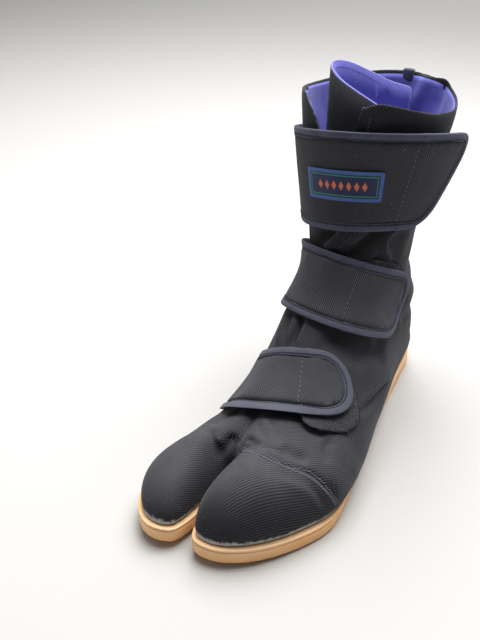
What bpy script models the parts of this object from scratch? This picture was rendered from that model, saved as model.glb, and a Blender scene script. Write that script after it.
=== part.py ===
"""Left jika tabi: a split-toe cotton work boot on a gum rubber sole.

The origin is on the floor under the middle of the heel. Toes point to -Y, the
outer side of the foot to +X, and +Z is up. Lengths are in metres.
"""

import math
from collections import namedtuple

import bmesh
import bpy
from mathutils import Vector
from mathutils.bvhtree import BVHTree
from mathutils.geometry import interpolate_bezier

# Driving sizes of the shoe
SOLE_LENGTH = 0.280
BALL_WIDTH = 0.110
HEEL_SETBACK = 0.033
COLLAR_HEIGHT = 0.220
SLOT_WIDTH = 0.0026
SLOT_DEPTH = 0.055
SLOT_STRAIGHT = 0.024
SLOT_FLARE = 0.0006

# Sole
SOLE_THICKNESS = 0.0105
SOLE_LIP = 0.0009
SOLE_BOTTOM_ROUND = 0.0016
TOE_SPRING = 0.0048
TOE_SPRING_RUN = 0.058
TOE_SPRING_POWER = 1.6
ARCH_RISE = 0.0022
ARCH_START = 0.030
ARCH_END = 0.125
GROOVE_DEPTH = 0.0014
GROOVE_WIDTH = 0.0032
GROOVE_PITCH = 0.0115
GROOVE_MARGIN = 0.0095
FIRST_GROOVE = 0.0261
ARCH_GROOVE_GAP = 0.0046
HEEL_GROOVE_GAP = 0.0012
BACK_GROOVE_GAP = 0.0058
BEND_STEPS = 6

# Upper, insole and the clearance between pieces
FIT_GAP = 0.0003
SEAT_GAP = 0.0005
WALL = 0.0022
FEATHER_INSET = 0.0025
LAST_BULGE = 0.0014
INSOLE_THICKNESS = 0.0030
INSOLE_GAP = 0.0016
BIG_TOE_HEIGHT = 0.0445
BIG_TOE_RISE = 0.050
TOE_BOX_HEIGHT = 0.0515
TOE_BOX_RISE = 0.033
BIG_TOE_LEAN = 0.38
TOE_BOX_LEAN = 0.40
LOBE_BELLY = 0.22
WEB_BELLY = 0.20
SWELL_RISE = 0.020
WEB_SETBACK_RUN = 0.020
MEDIAL_COLUMNS = 13
LATERAL_COLUMNS = 17

# Collar
MEDIAL_COLLAR_DROP = 0.006
LATERAL_COLLAR_DROP = 0.011
THROAT_DEPTH = 0.034
THROAT_WIDTH = 0.016
THROAT_CENTRE = -0.006
THROAT_LEAN = 0.14
THROAT_REACH = 0.4

# Front gusset
GUSSET_THICKNESS = 0.0020
GUSSET_STEPS = 3
GUSSET_LEVELS = 4

# Straps
STRAP_THICKNESS = 0.0022
STRAP_LIFT = 0.0009
STRAP_SEWN_SINK = 0.0007
STRAP_SEWN_RUN = 0.014
BINDING_WIDTH = 0.0056
BINDING_THICKNESS = 0.0034
BINDING_SHOULDER = 0.00075
BINDING_CORNER = 0.00085
STAND_OFF_RUN = 0.42
COVER_START = 2.1
COVER_RAMP = 0.4
LOOP_THICKNESS = 0.0012
LOOP_CLEARANCE = 0.0009
LOOP_ROUND = 0.42
LABEL_LENGTH = 0.047
LABEL_WIDTH = 0.0185
LABEL_THICKNESS = 0.0008
LABEL_ROUND = 0.0008

# Sole outline: along is a share of SOLE_LENGTH from the back of the heel to
# the toe, across a share of BALL_WIDTH, negative on the inner side.
SolePoint = namedtuple("SolePoint", "along across")
MEDIAL_EDGE = (
    SolePoint(0.000, 0.000),
    SolePoint(0.008, -0.136),
    SolePoint(0.057, -0.264),
    SolePoint(0.157, -0.309),
    SolePoint(0.300, -0.318),
    SolePoint(0.479, -0.364),
    SolePoint(0.654, -0.405),
    SolePoint(0.800, -0.428),
    SolePoint(0.911, -0.410),
    SolePoint(0.971, -0.322),
    SolePoint(1.000, -0.205),
    SolePoint(0.988, -0.085),
    SolePoint(0.955, -0.052),
)
LATERAL_EDGE = (
    SolePoint(0.945, 0.000),
    SolePoint(0.977, 0.040),
    SolePoint(0.985, 0.110),
    SolePoint(0.972, 0.220),
    SolePoint(0.925, 0.355),
    SolePoint(0.850, 0.475),
    SolePoint(0.764, 0.555),
    SolePoint(0.668, 0.530),
    SolePoint(0.482, 0.436),
    SolePoint(0.300, 0.350),
    SolePoint(0.157, 0.300),
    SolePoint(0.057, 0.250),
    SolePoint(0.008, 0.136),
)
SLOT_ACROSS = -0.027

# Rows of the two toe lobes, from the tip (0) to the foot of the slot (1).
# crown is how square the big toe's arch is: it slopes off towards the ball.
LobeRow = namedtuple("LobeRow", "station crown")
LOBE_ROWS = (
    LobeRow(0.000, 2.10),
    LobeRow(0.011, 2.10),
    LobeRow(0.040, 2.10),
    LobeRow(0.090, 2.10),
    LobeRow(0.170, 2.10),
    LobeRow(0.280, 2.10),
    LobeRow(0.430, 2.05),
    LobeRow(0.610, 1.90),
    LobeRow(0.810, 1.60),
    LobeRow(1.000, 1.38),
)

# Sections behind the slot, where the lobes run together. web, medial and
# lateral are heights as shares of COLLAR_HEIGHT, merge is how far the two
# crowns have moved to the ridge, and swell how far the outer side bulges
# past its foot, as a share of BALL_WIDTH.
WebRow = namedtuple("WebRow", "along web medial lateral merge crown swell")
WEB_ROWS = (
    WebRow(0.787, 0.150, 0.200, 0.234, 0.00, 1.36, 0.018),
    WebRow(0.775, 0.175, 0.202, 0.234, 0.05, 1.34, 0.026),
    WebRow(0.750, 0.192, 0.206, 0.234, 0.18, 1.27, 0.038),
    WebRow(0.718, 0.206, 0.212, 0.232, 0.42, 1.21, 0.048),
    WebRow(0.686, 0.218, 0.220, 0.230, 0.72, 1.17, 0.056),
)

# Fanned sections over the instep, open underneath. ridge_* is the top of the
# section, foot its place on the sole, medial and lateral its widest points,
# belly how high up the section they lie, and the crowns how square the top
# is on each side.
FootRow = namedtuple(
    "FootRow", "ridge_along ridge_up foot centre medial lateral belly medial_crown lateral_crown"
)
FOOT_ROWS = (
    FootRow(0.661, 0.230, 0.654, -0.036, -0.388, 0.562, 0.18, 1.16, 2.20),
    FootRow(0.611, 0.259, 0.582, -0.030, -0.370, 0.538, 0.19, 1.24, 2.02),
    FootRow(0.561, 0.295, 0.504, -0.028, -0.350, 0.488, 0.20, 1.52, 1.92),
    FootRow(0.514, 0.332, 0.425, -0.025, -0.336, 0.455, 0.22, 2.05, 1.86),
    FootRow(0.479, 0.366, 0.339, -0.020, -0.330, 0.418, 0.25, 2.50, 1.86),
    FootRow(0.454, 0.400, 0.254, -0.016, -0.330, 0.372, 0.28, 2.85, 1.90),
    FootRow(0.436, 0.436, 0.171, -0.012, -0.320, 0.332, 0.30, 2.70, 1.94),
    FootRow(0.429, 0.459, 0.107, -0.009, -0.312, 0.316, 0.31, 2.60, 1.96),
    FootRow(0.423, 0.477, 0.068, -0.006, -0.306, 0.308, 0.32, 2.50, 1.98),
    FootRow(0.420, 0.493, 0.040, -0.003, -0.303, 0.304, 0.33, 2.45, 2.00),
    FootRow(0.416, 0.507, 0.022, 0.000, -0.302, 0.302, 0.34, 2.40, 2.00),
)

# Closed sections round the heel and the shaft. back_* is where the section
# meets the back seam, throat how much of the throat's dip it has, and drop
# how much of the collar's dip at the sides.
ShaftRow = namedtuple(
    "ShaftRow",
    "ridge_along ridge_up back_along back_up centre medial lateral belly crown throat drop",
)
SHAFT_ROWS = (
    ShaftRow(0.4136, 0.518, 0.0085, 0.055, 0.000, -0.302, 0.301, 0.35, 2.35, 0.00, 0.00),
    ShaftRow(0.4110, 0.534, 0.0090, 0.085, 0.000, -0.302, 0.299, 0.36, 2.30, 0.00, 0.00),
    ShaftRow(0.4086, 0.555, 0.0100, 0.136, 0.000, -0.304, 0.294, 0.38, 2.25, 0.00, 0.00),
    ShaftRow(0.4064, 0.582, 0.0150, 0.200, 0.000, -0.308, 0.289, 0.40, 2.20, 0.00, 0.00),
    ShaftRow(0.4050, 0.611, 0.0250, 0.264, 0.000, -0.316, 0.281, 0.42, 2.15, 0.00, 0.00),
    ShaftRow(0.4036, 0.646, 0.0390, 0.332, 0.002, -0.326, 0.274, 0.44, 2.10, 0.00, 0.00),
    ShaftRow(0.4036, 0.682, 0.0530, 0.400, 0.004, -0.336, 0.276, 0.46, 2.05, 0.00, 0.00),
    ShaftRow(0.4046, 0.718, 0.0600, 0.473, 0.008, -0.348, 0.290, 0.48, 2.05, 0.00, 0.00),
    ShaftRow(0.4064, 0.759, 0.0600, 0.550, 0.014, -0.362, 0.313, 0.49, 2.05, 0.00, 0.00),
    ShaftRow(0.4090, 0.805, 0.0520, 0.632, 0.020, -0.380, 0.338, 0.50, 2.05, 0.04, 0.00),
    ShaftRow(0.4125, 0.855, 0.0410, 0.718, 0.027, -0.398, 0.368, 0.50, 2.05, 0.14, 0.05),
    ShaftRow(0.4160, 0.909, 0.0300, 0.805, 0.033, -0.412, 0.397, 0.50, 2.05, 0.35, 0.25),
    ShaftRow(0.4210, 0.964, 0.0190, 0.895, 0.039, -0.425, 0.421, 0.50, 2.05, 0.66, 0.60),
    ShaftRow(0.4250, 1.014, 0.0120, 0.986, 0.045, -0.434, 0.434, 0.50, 2.05, 1.00, 1.00),
)
SHAFT_CROWN = 2.05
HEEL_ROUND = 2.0
CROTCH_ROUND = 2.0
LOBE_CROWN = 2.1

# Curled gusset in plan: shares of BALL_WIDTH across, of SOLE_LENGTH along,
# and its top and bottom edges as shares of COLLAR_HEIGHT.
GussetPoint = namedtuple("GussetPoint", "across along top bottom")
GUSSET_PATH = (
    GussetPoint(0.230, 0.350, 0.950, 0.800),
    GussetPoint(0.150, 0.371, 0.985, 0.800),
    GussetPoint(0.040, 0.381, 1.015, 0.800),
    GussetPoint(-0.080, 0.372, 1.040, 0.800),
    GussetPoint(-0.150, 0.352, 1.060, 0.810),
    GussetPoint(-0.160, 0.325, 1.068, 0.820),
    GussetPoint(-0.110, 0.296, 1.060, 0.830),
    GussetPoint(-0.030, 0.262, 1.035, 0.835),
    GussetPoint(0.060, 0.226, 1.005, 0.840),
    GussetPoint(0.150, 0.190, 0.985, 0.845),
)

# Straps: anchor is a point inside the foot that the strap is wrapped round
# and axis the direction across it; start is the angle where it begins, 0 at
# the front and 90 on the outer side; upper and lower are the lengths of its
# two edges, and the rounds are its corners at the free end. sink brings a
# strap closer where the slope of the foot would hold it off.
Strap = namedtuple(
    "Strap", "name anchor axis start width upper lower upper_round lower_round stand_off cover sink"
)
STRAPS = (
    Strap("lower", (0.0005, -0.1112, 0.0385), (-0.266, 0.594, 0.759), -78.0,
          0.042, 0.099, 0.098, 0.019, 0.020, 0.0, 0.028, 0.0011),
    Strap("middle", (-0.003, -0.045, 0.0835), (0.070, 0.415, 0.907), -100.0,
          0.045, 0.137, 0.131, 0.012, 0.020, 0.0, 0.030, 0.0),
    Strap("top", (0.000, -0.030, 0.1605), (-0.110, 0.196, 0.974), -112.0,
          0.061, 0.182, 0.166, 0.013, 0.022, 0.009, 0.0, 0.0),
)
STRAP_START_ROUND = 0.0075
WRAP_STEP = 0.0074
WRAP_TURN = 2.0
WRAP_TURNS = 150
PROBES = ((0.0, 0.0), (0.1, 0.0), (-0.1, 0.0), (0.0, 0.005), (0.0, -0.005))

# Fuzzy fastener patches: centre and size along and across the strap that
# closes on them.
LoopPatch = namedtuple("LoopPatch", "strap centre shift length width")
LOOP_PATCHES = (
    LoopPatch("lower", 0.087, -0.008, 0.034, 0.043),
    LoopPatch("middle", 0.112, 0.004, 0.050, 0.044),
)
LABEL_CENTRE = 0.097
LABEL_SHIFT = -0.0015

# Surface colours, roughness and metal share
Finish = namedtuple("Finish", "colour roughness metallic")
FINISHES = {
    "gum_rubber": Finish((0.58, 0.30, 0.12), 0.55, 0.0),
    "insole_cloth": Finish((0.10, 0.09, 0.35), 0.90, 0.0),
    "black_twill": Finish((0.014, 0.015, 0.019), 0.92, 0.0),
    "navy_binding": Finish((0.020, 0.024, 0.040), 0.88, 0.0),
    "loop_pile": Finish((0.010, 0.010, 0.012), 0.98, 0.0),
    "woven_label": Finish((0.030, 0.075, 0.300), 0.80, 0.0),
}


def clear_scene():
    """Remove whatever the new file holds."""
    for item in list(bpy.data.objects):
        bpy.data.objects.remove(item, do_unlink=True)


def make_material(name, finish):
    """Return a Principled material of one finish."""
    material = bpy.data.materials.new(name)
    material.use_nodes = True
    shader = material.node_tree.nodes["Principled BSDF"]
    shader.inputs["Base Color"].default_value = (*finish.colour, 1.0)
    shader.inputs["Roughness"].default_value = finish.roughness
    shader.inputs["Metallic"].default_value = finish.metallic
    return material


def add_node(name, bm, finish_name, smooth_angle=35.0):
    """Turn a bmesh into a named object with its own material."""
    bmesh.ops.recalc_face_normals(bm, faces=bm.faces)
    if bm.calc_volume(signed=True) < 0.0:
        bmesh.ops.reverse_faces(bm, faces=bm.faces)
    mesh = bpy.data.meshes.new(name)
    bm.to_mesh(mesh)
    bm.free()
    mesh.shade_smooth()
    mesh.set_sharp_from_angle(angle=math.radians(smooth_angle))
    mesh.materials.append(make_material(f"{name}_{finish_name}", FINISHES[finish_name]))
    node = bpy.data.objects.new(name, mesh)
    bpy.context.scene.collection.objects.link(node)
    return node


def y_at(along):
    """Place along the shoe of a share of the sole's length."""
    return HEEL_SETBACK - along * SOLE_LENGTH


def x_at(across):
    """Place across the shoe of a share of the ball width."""
    return across * BALL_WIDTH


def z_at(up):
    """Height of a share of the collar's height."""
    return up * COLLAR_HEIGHT


def smooth_lift(y):
    """Rise of the sole's bend line at y: the arch, then the toe spring."""
    lift = 0.0
    behind = -y
    if ARCH_START < behind < ARCH_END:
        share = (behind - ARCH_START) / (ARCH_END - ARCH_START)
        lift = ARCH_RISE * math.sin(math.pi * share) ** 2
    toe = SOLE_LENGTH - HEEL_SETBACK
    run = behind - (toe - TOE_SPRING_RUN)
    if run > 0.0:
        lift = TOE_SPRING * (run / TOE_SPRING_RUN) ** TOE_SPRING_POWER
    return lift


def bend_stations():
    """Places along the shoe where the faceted sole bends, toe first."""
    toe = HEEL_SETBACK - SOLE_LENGTH
    shares = [step / BEND_STEPS for step in range(BEND_STEPS + 1)]
    spring = [toe + TOE_SPRING_RUN * share for share in shares]
    arch = [-ARCH_END + (ARCH_END - ARCH_START) * share for share in shares]
    return spring + arch


def sole_lift(y):
    """Rise of the faceted sole at y, straight between its bend stations."""
    stations = bend_stations()
    for low, high in zip(stations, stations[1:]):
        if low <= y <= high:
            share = (y - low) / (high - low)
            return smooth_lift(low) * (1.0 - share) + smooth_lift(high) * share
    return smooth_lift(y)


def seat_height(y):
    """Height of the upper's lower edge above the floor at y."""
    return sole_lift(y) + SOLE_THICKNESS + SEAT_GAP


def smooth_path(points, steps, closed):
    """Bezier curve through 2-D points with chord-length handles."""
    count = len(points)
    spans = count if closed else count - 1
    path = []
    for index in range(spans):
        here = points[index]
        there = points[(index + 1) % count]
        before = points[index - 1] if closed or index else here
        after = points[(index + 2) % count] if closed or index + 2 < count else there
        reach = (there - here).length / 3.0
        start = here + (there - before).normalized() * reach
        end = there - (after - here).normalized() * reach
        path.extend(interpolate_bezier(here, start, end, there, steps + 1)[:-1])
    if not closed:
        path.append(points[-1].copy())
    return path


def sole_outline():
    """Closed outline of the sole, with the slot between the toes."""
    slot_x = x_at(SLOT_ACROSS)
    slot_y = HEEL_SETBACK - SOLE_LENGTH + SLOT_DEPTH
    half = SLOT_WIDTH / 2.0
    medial = [Vector((x_at(p.across), y_at(p.along))) for p in MEDIAL_EDGE]
    lateral = [Vector((x_at(p.across), y_at(p.along))) for p in LATERAL_EDGE]
    slot = [
        Vector((slot_x - half - SLOT_FLARE, slot_y - SLOT_STRAIGHT)),
        Vector((slot_x - half, slot_y)),
        Vector((slot_x, slot_y + half)),
        Vector((slot_x + half, slot_y)),
        Vector((slot_x + half + SLOT_FLARE, slot_y - SLOT_STRAIGHT)),
    ]
    return smooth_path(medial + slot + lateral, 3, closed=True)


def inset_loop(loop, inset):
    """Move each point of a closed loop inwards along its corner's bisector."""
    count = len(loop)
    area = sum(loop[i - 1].x * loop[i].y - loop[i].x * loop[i - 1].y for i in range(count))
    turn = 1.0 if area > 0.0 else -1.0
    moved = []
    for index in range(count):
        before = (loop[index] - loop[index - 1]).normalized()
        after = (loop[(index + 1) % count] - loop[index]).normalized()
        first = Vector((-before.y, before.x)) * turn
        second = Vector((-after.y, after.x)) * turn
        bisector = (first + second).normalized()
        reach = inset / max(bisector.dot(first), 0.5)
        moved.append(loop[index] + bisector * reach)
    return moved


def distance_to_loop(point, loop):
    """Shortest distance from a point to a closed loop's edges."""
    best = math.inf
    for index in range(len(loop)):
        start = loop[index - 1]
        edge = loop[index] - start
        share = max(0.0, min(1.0, (point - start).dot(edge) / max(edge.length_squared, 1e-12)))
        best = min(best, (point - start - edge * share).length)
    return best


def clean_inset(loop, inset):
    """Inset a loop and drop the points that tight corners fold over."""
    moved = inset_loop(loop, inset)
    return [point for point in moved if distance_to_loop(point, loop) > 0.97 * inset]


def crossings(loop, y):
    """Sorted x places where a closed loop crosses the line at y."""
    found = []
    for index in range(len(loop)):
        a = loop[index - 1]
        b = loop[index]
        if (a.y - y) * (b.y - y) < 0.0:
            share = (y - a.y) / (b.y - a.y)
            found.append(a.x + share * (b.x - a.x))
    return sorted(found)


def loft_rings(rings):
    """Closed solid through stacked rings of equal length, capped at both ends."""
    bm = bmesh.new()
    rows = [[bm.verts.new(point) for point in ring] for ring in rings]
    count = len(rows[0])
    for low, high in zip(rows, rows[1:]):
        for index in range(count):
            after = (index + 1) % count
            bm.faces.new((low[index], low[after], high[after], high[index]))
    bm.faces.new(rows[0][::-1])
    bm.faces.new(rows[-1])
    return bm


def slice_along(bm, places, axis):
    """Cut a mesh by planes square to one axis so that it can bend there."""
    normal = Vector((0.0, 0.0, 0.0))
    normal[axis] = 1.0
    for place in places:
        geometry = bm.verts[:] + bm.edges[:] + bm.faces[:]
        bmesh.ops.bisect_plane(bm, geom=geometry, dist=1e-6, plane_co=normal * place, plane_no=normal)


def bend_to_sole(bm):
    """Lift every vertex by the sole's rise at its place."""
    for vert in bm.verts:
        vert.co.z += sole_lift(vert.co.y)


def cut_with(target, cutters):
    """Subtract each cutter from the target and keep them out of the build."""
    for index, cutter in enumerate(cutters):
        cutter.hide_render = True
        cutter.display_type = "WIRE"
        modifier = target.modifiers.new(f"groove_{index}", "BOOLEAN")
        modifier.operation = "DIFFERENCE"
        modifier.solver = "EXACT"
        modifier.object = cutter


def groove_places():
    """Groove centres under the heel and the forefoot, clear of the flats."""
    toe = HEEL_SETBACK - SOLE_LENGTH
    places = []
    y = toe + FIRST_GROOVE
    while y < -ARCH_END - ARCH_GROOVE_GAP:
        places.append(y)
        y += GROOVE_PITCH
    y = -ARCH_START + HEEL_GROOVE_GAP
    while y < HEEL_SETBACK - GROOVE_MARGIN - BACK_GROOVE_GAP:
        places.append(y)
        y += GROOVE_PITCH
    return places


def make_grooves(outline):
    """Bars that cut the tread, each ending short of the sole's edge."""
    edge = clean_inset(outline, GROOVE_MARGIN)
    bars = []
    for y in groove_places():
        cuts = crossings(edge, y)
        for left, right in zip(cuts[0::2], cuts[1::2]):
            if right - left < GROOVE_PITCH:
                continue
            bm = bmesh.new()
            bmesh.ops.create_cube(bm, size=1.0)
            for vert in bm.verts:
                vert.co.x = (left + right) / 2.0 + vert.co.x * (right - left)
                vert.co.y = y + vert.co.y * GROOVE_WIDTH
                vert.co.z = vert.co.z * 2.0 * GROOVE_DEPTH + sole_lift(y)
            mesh = bpy.data.meshes.new("groove")
            bm.to_mesh(mesh)
            bm.free()
            bar = bpy.data.objects.new(f"groove_cutter_{len(bars)}", mesh)
            bpy.context.scene.collection.objects.link(bar)
            bars.append(bar)
    return bars


def make_outsole(outline):
    """Gum rubber sole: rounded foot, plain wall and a thin raised lip."""
    # Each profile step is a height share of the thickness and an inset.
    profile = (
        (0.00, SOLE_BOTTOM_ROUND),
        (0.04, SOLE_BOTTOM_ROUND * 0.45),
        (0.15, 0.0),
        (0.76, 0.0),
        (0.80, SOLE_LIP),
        (0.84, 0.0),
        (0.96, 0.0),
        (1.00, SOLE_LIP),
    )
    rings = []
    for share, inset in profile:
        loop = inset_loop(outline, inset) if inset else outline
        rings.append([Vector((p.x, p.y, share * SOLE_THICKNESS)) for p in loop])
    bm = loft_rings(rings)
    slice_along(bm, bend_stations(), axis=1)
    bend_to_sole(bm)
    outsole = add_node("outsole", bm, "gum_rubber")
    cut_with(outsole, make_grooves(outline))
    return outsole


def make_insole(outline):
    """Thin footbed inside the upper, split like the sole."""
    loop = clean_inset(outline, FEATHER_INSET + WALL + INSOLE_GAP)
    low = SOLE_THICKNESS + FIT_GAP
    rings = [
        [Vector((p.x, p.y, low)) for p in loop],
        [Vector((p.x, p.y, low + INSOLE_THICKNESS)) for p in loop],
    ]
    bm = loft_rings(rings)
    slice_along(bm, bend_stations(), axis=1)
    bend_to_sole(bm)
    return add_node("insole", bm, "insole_cloth")


def quarter(start, end, power, rising, steps=10):
    """Quarter superellipse between two (x, height) points.

    A rising quarter leaves its start upright and reaches its end level; the
    other kind leaves level and arrives upright.
    """
    points = []
    for step in range(steps):
        angle = 0.5 * math.pi * step / steps
        level = math.sin(angle) ** (2.0 / power)
        upright = math.cos(angle) ** (2.0 / power)
        if rising:
            x = end[0] + (start[0] - end[0]) * upright
            height = start[1] + (end[1] - start[1]) * level
        else:
            x = start[0] + (end[0] - start[0]) * level
            height = end[1] + (start[1] - end[1]) * upright
        points.append((x, height))
    return points


def half_section(foot_x, side_x, belly, top, crown, end, slot_foot_x=None):
    """Half of a section from its foot over the top to its inner end."""
    side = (side_x, belly)
    points = quarter((foot_x, 0.0), side, HEEL_ROUND, rising=False)
    points += quarter(side, top, crown, rising=True)
    if slot_foot_x is None:
        if abs(top[0] - end[0]) > 1e-6:
            points += quarter(top, end, CROTCH_ROUND, rising=False)
        else:
            points.append(top)
        points.append(end)
    else:
        points += quarter(top, end, crown, rising=False)
        points += quarter(end, (slot_foot_x, 0.0), HEEL_ROUND, rising=True)
        points.append((slot_foot_x, 0.0))
    return points


def spread(points, count):
    """Resample a 2-D polyline into count points at equal spacing."""
    lengths = [0.0]
    for a, b in zip(points, points[1:]):
        lengths.append(lengths[-1] + math.dist(a, b))
    total = lengths[-1]
    result = []
    cursor = 0
    for index in range(count):
        goal = total * index / (count - 1)
        while cursor < len(lengths) - 2 and lengths[cursor + 1] < goal:
            cursor += 1
        span = lengths[cursor + 1] - lengths[cursor]
        share = (goal - lengths[cursor]) / span if span > 1e-12 else 0.0
        a = points[cursor]
        b = points[cursor + 1]
        result.append((a[0] + (b[0] - a[0]) * share, a[1] + (b[1] - a[1]) * share))
    return result


def place_row(medial, lateral, base, ridge):
    """Set both halves of a section in the plane through its base and ridge."""
    direction = (ridge - base).normalized()
    row = []
    for x, height in spread(medial, MEDIAL_COLUMNS):
        row.append(Vector((x, base.x + direction.x * height, base.y + direction.y * height)))
    for x, height in reversed(spread(lateral, LATERAL_COLUMNS)):
        row.append(Vector((x, base.x + direction.x * height, base.y + direction.y * height)))
    return row


def lobe_rows(edge, skin):
    """Arched sections of the two toe lobes, from the tips to the slot's foot."""
    slot_x = x_at(SLOT_ACROSS)
    slot_y = HEEL_SETBACK - SOLE_LENGTH + SLOT_DEPTH + skin
    rows = [[] for _ in LOBE_ROWS]
    lobes = (
        (BIG_TOE_HEIGHT - skin, BIG_TOE_RISE, MEDIAL_COLUMNS, BIG_TOE_LEAN),
        (TOE_BOX_HEIGHT - skin, TOE_BOX_RISE, LATERAL_COLUMNS, TOE_BOX_LEAN),
    )
    for side, (top_z, rise, columns, lean) in enumerate(lobes):
        tip = min((p for p in edge if (p.x < slot_x) == (side == 0)), key=lambda p: p.y)
        for row, spec in zip(rows, LOBE_ROWS):
            station = spec.station
            y = tip.y + (slot_y - tip.y) * station
            base_z = seat_height(y)
            if station == 0.0:
                row.extend(Vector((tip.x, y, base_z)) for _ in range(columns))
                continue
            cuts = [x for x in crossings(edge, y) if (x < slot_x) == (side == 0)]
            outer, inner = (cuts[0], cuts[-1]) if side == 0 else (cuts[-1], cuts[0])
            outward = -1.0 if side == 0 else 1.0
            share = min((y - tip.y) / rise, 1.0)
            height = (top_z - base_z) * (1.0 - (1.0 - share) ** LOBE_CROWN) ** (1.0 / LOBE_CROWN)
            swell = LAST_BULGE * min(1.0, height / SWELL_RISE)
            belly = height * LOBE_BELLY
            top_x = inner + (outer - inner) * lean
            crown = spec.crown if side == 0 else LOBE_CROWN
            section = half_section(
                outer, outer + outward * swell, belly, (top_x, height), crown,
                (inner - outward * swell, belly), slot_foot_x=inner,
            )
            points = spread(section, columns)
            if side == 1:
                points.reverse()
            row.extend(Vector((x, y, base_z + high)) for x, high in points)
    return rows


def web_rows(edge, skin):
    """Two-crowned sections behind the slot, where the lobes run together."""
    slot_x = x_at(SLOT_ACROSS)
    half = SLOT_WIDTH / 2.0
    slot_y = HEEL_SETBACK - SOLE_LENGTH + SLOT_DEPTH
    rows = []
    for spec in WEB_ROWS:
        y = y_at(spec.along)
        y += skin * max(0.0, 1.0 - (y - slot_y) / WEB_SETBACK_RUN)
        base_z = seat_height(y)
        cuts = crossings(edge, y)
        outer_medial, outer_lateral = cuts[0], cuts[-1]
        web = z_at(spec.web) - skin - base_z
        halves = []
        for outer, crown_up, lean, side, crown, swell in (
            (outer_medial, spec.medial, BIG_TOE_LEAN, -1.0, spec.crown, LAST_BULGE),
            (outer_lateral, spec.lateral, TOE_BOX_LEAN, 1.0, LOBE_CROWN, x_at(spec.swell)),
        ):
            end_x = slot_x + side * half
            crown_x = end_x + (outer - end_x) * lean * (1.0 - spec.merge)
            top = z_at(crown_up) - skin - base_z
            halves.append(half_section(
                outer, outer + side * swell, top * WEB_BELLY, (crown_x, top), crown,
                (end_x, web),
            ))
        rows.append(place_row(halves[0], halves[1], Vector((y, base_z)), Vector((y, base_z + 1.0))))
    return rows


def shrink(point, towards, amount):
    """Move a 2-D point towards another by an amount."""
    return point + (towards - point).normalized() * amount


def foot_rows(edge, skin):
    """Fanned sections over the instep, standing on the sole's edge."""
    half = SLOT_WIDTH / 2.0
    rows = []
    for spec in FOOT_ROWS:
        foot_y = y_at(spec.foot)
        base = Vector((foot_y, seat_height(foot_y)))
        ridge = Vector((y_at(spec.ridge_along), z_at(spec.ridge_up)))
        ridge = shrink(ridge, base, skin)
        reach = (ridge - base).length
        cuts = crossings(edge, foot_y)
        centre = x_at(spec.centre)
        halves = []
        for foot_x, side_x, side, crown in (
            (cuts[0], x_at(spec.medial) + skin, -1.0, spec.medial_crown),
            (cuts[-1], x_at(spec.lateral) - skin, 1.0, spec.lateral_crown),
        ):
            top = (centre + side * half, reach)
            halves.append(half_section(foot_x, side_x, reach * spec.belly, top, crown, top))
        rows.append(place_row(halves[0], halves[1], base, ridge))
    return rows


def dip_collar(row, spec, throat_depth):
    """Lower the collar at its sides and in the throat at the front."""
    front = min(point.y for point in row)
    back = max(point.y for point in row)
    for point in row:
        share = (point.y - front) / (back - front)
        drop = LATERAL_COLLAR_DROP if point.x > 0.0 else MEDIAL_COLLAR_DROP
        point.z -= spec.drop * drop * math.sin(math.pi * share)
        if share < THROAT_REACH:
            across = (point.x - THROAT_CENTRE) / THROAT_WIDTH
            dip = spec.throat * throat_depth * math.exp(-across**4)
            point.z -= dip
            point.y += dip * THROAT_LEAN


def shaft_rows(skin, throat_depth):
    """Closed sections round the heel and up the shaft to the collar."""
    half = SLOT_WIDTH / 2.0
    rows = []
    for spec in SHAFT_ROWS:
        base = Vector((y_at(spec.back_along), z_at(spec.back_up)))
        if not rows:
            base.x = HEEL_SETBACK - FEATHER_INSET
            base.y = seat_height(base.x)
        ridge = Vector((y_at(spec.ridge_along), z_at(spec.ridge_up)))
        ridge, base = shrink(ridge, base, skin), shrink(base, ridge, skin)
        if not rows:
            base.y = seat_height(base.x)
        reach = (ridge - base).length
        centre = x_at(spec.centre)
        halves = []
        for side_x, side, crown in (
            (x_at(spec.medial) + skin, -1.0, spec.crown),
            (x_at(spec.lateral) - skin, 1.0, SHAFT_CROWN),
        ):
            top = (centre + side * half, reach)
            halves.append(half_section(0.0, side_x, reach * spec.belly, top, crown, top))
        row = place_row(halves[0], halves[1], base, ridge)
        dip_collar(row, spec, throat_depth)
        rows.append(row)
    return rows


def upper_grid(outline, skin, throat_depth=THROAT_DEPTH):
    """All sections of the upper, set in by skin from its outer face."""
    edge = clean_inset(outline, FEATHER_INSET + skin)
    lobes = lobe_rows(edge, skin)
    open_rows = web_rows(edge, skin) + foot_rows(edge, skin)
    closed_rows = shaft_rows(skin, throat_depth)
    return lobes, open_rows, closed_rows


def grid_faces(lobes, open_rows, closed_rows):
    """Vertices and faces of one skin; shared corners get one vertex."""
    columns = MEDIAL_COLUMNS + LATERAL_COLUMNS
    rows = lobes + open_rows + closed_rows
    first_closed = len(lobes) + len(open_rows)
    verts = []
    index = []
    for number, row in enumerate(rows):
        line = []
        for column, point in enumerate(row):
            same_tip = number == 0 and column not in (0, MEDIAL_COLUMNS)
            if same_tip:
                line.append(line[-1])
            elif number >= first_closed and column == columns - 1:
                line.append(line[0])
            else:
                line.append(len(verts))
                verts.append(point)
        index.append(line)
    faces = []
    for number in range(len(rows) - 1):
        for column in range(columns - 1):
            if column == MEDIAL_COLUMNS - 1 and number < len(lobes) - 1:
                continue
            corners = (
                index[number][column],
                index[number][column + 1],
                index[number + 1][column + 1],
                index[number + 1][column],
            )
            face = []
            for corner in corners:
                if corner not in face:
                    face.append(corner)
            if len(face) > 2:
                faces.append(tuple(face))
    return verts, faces


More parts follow.
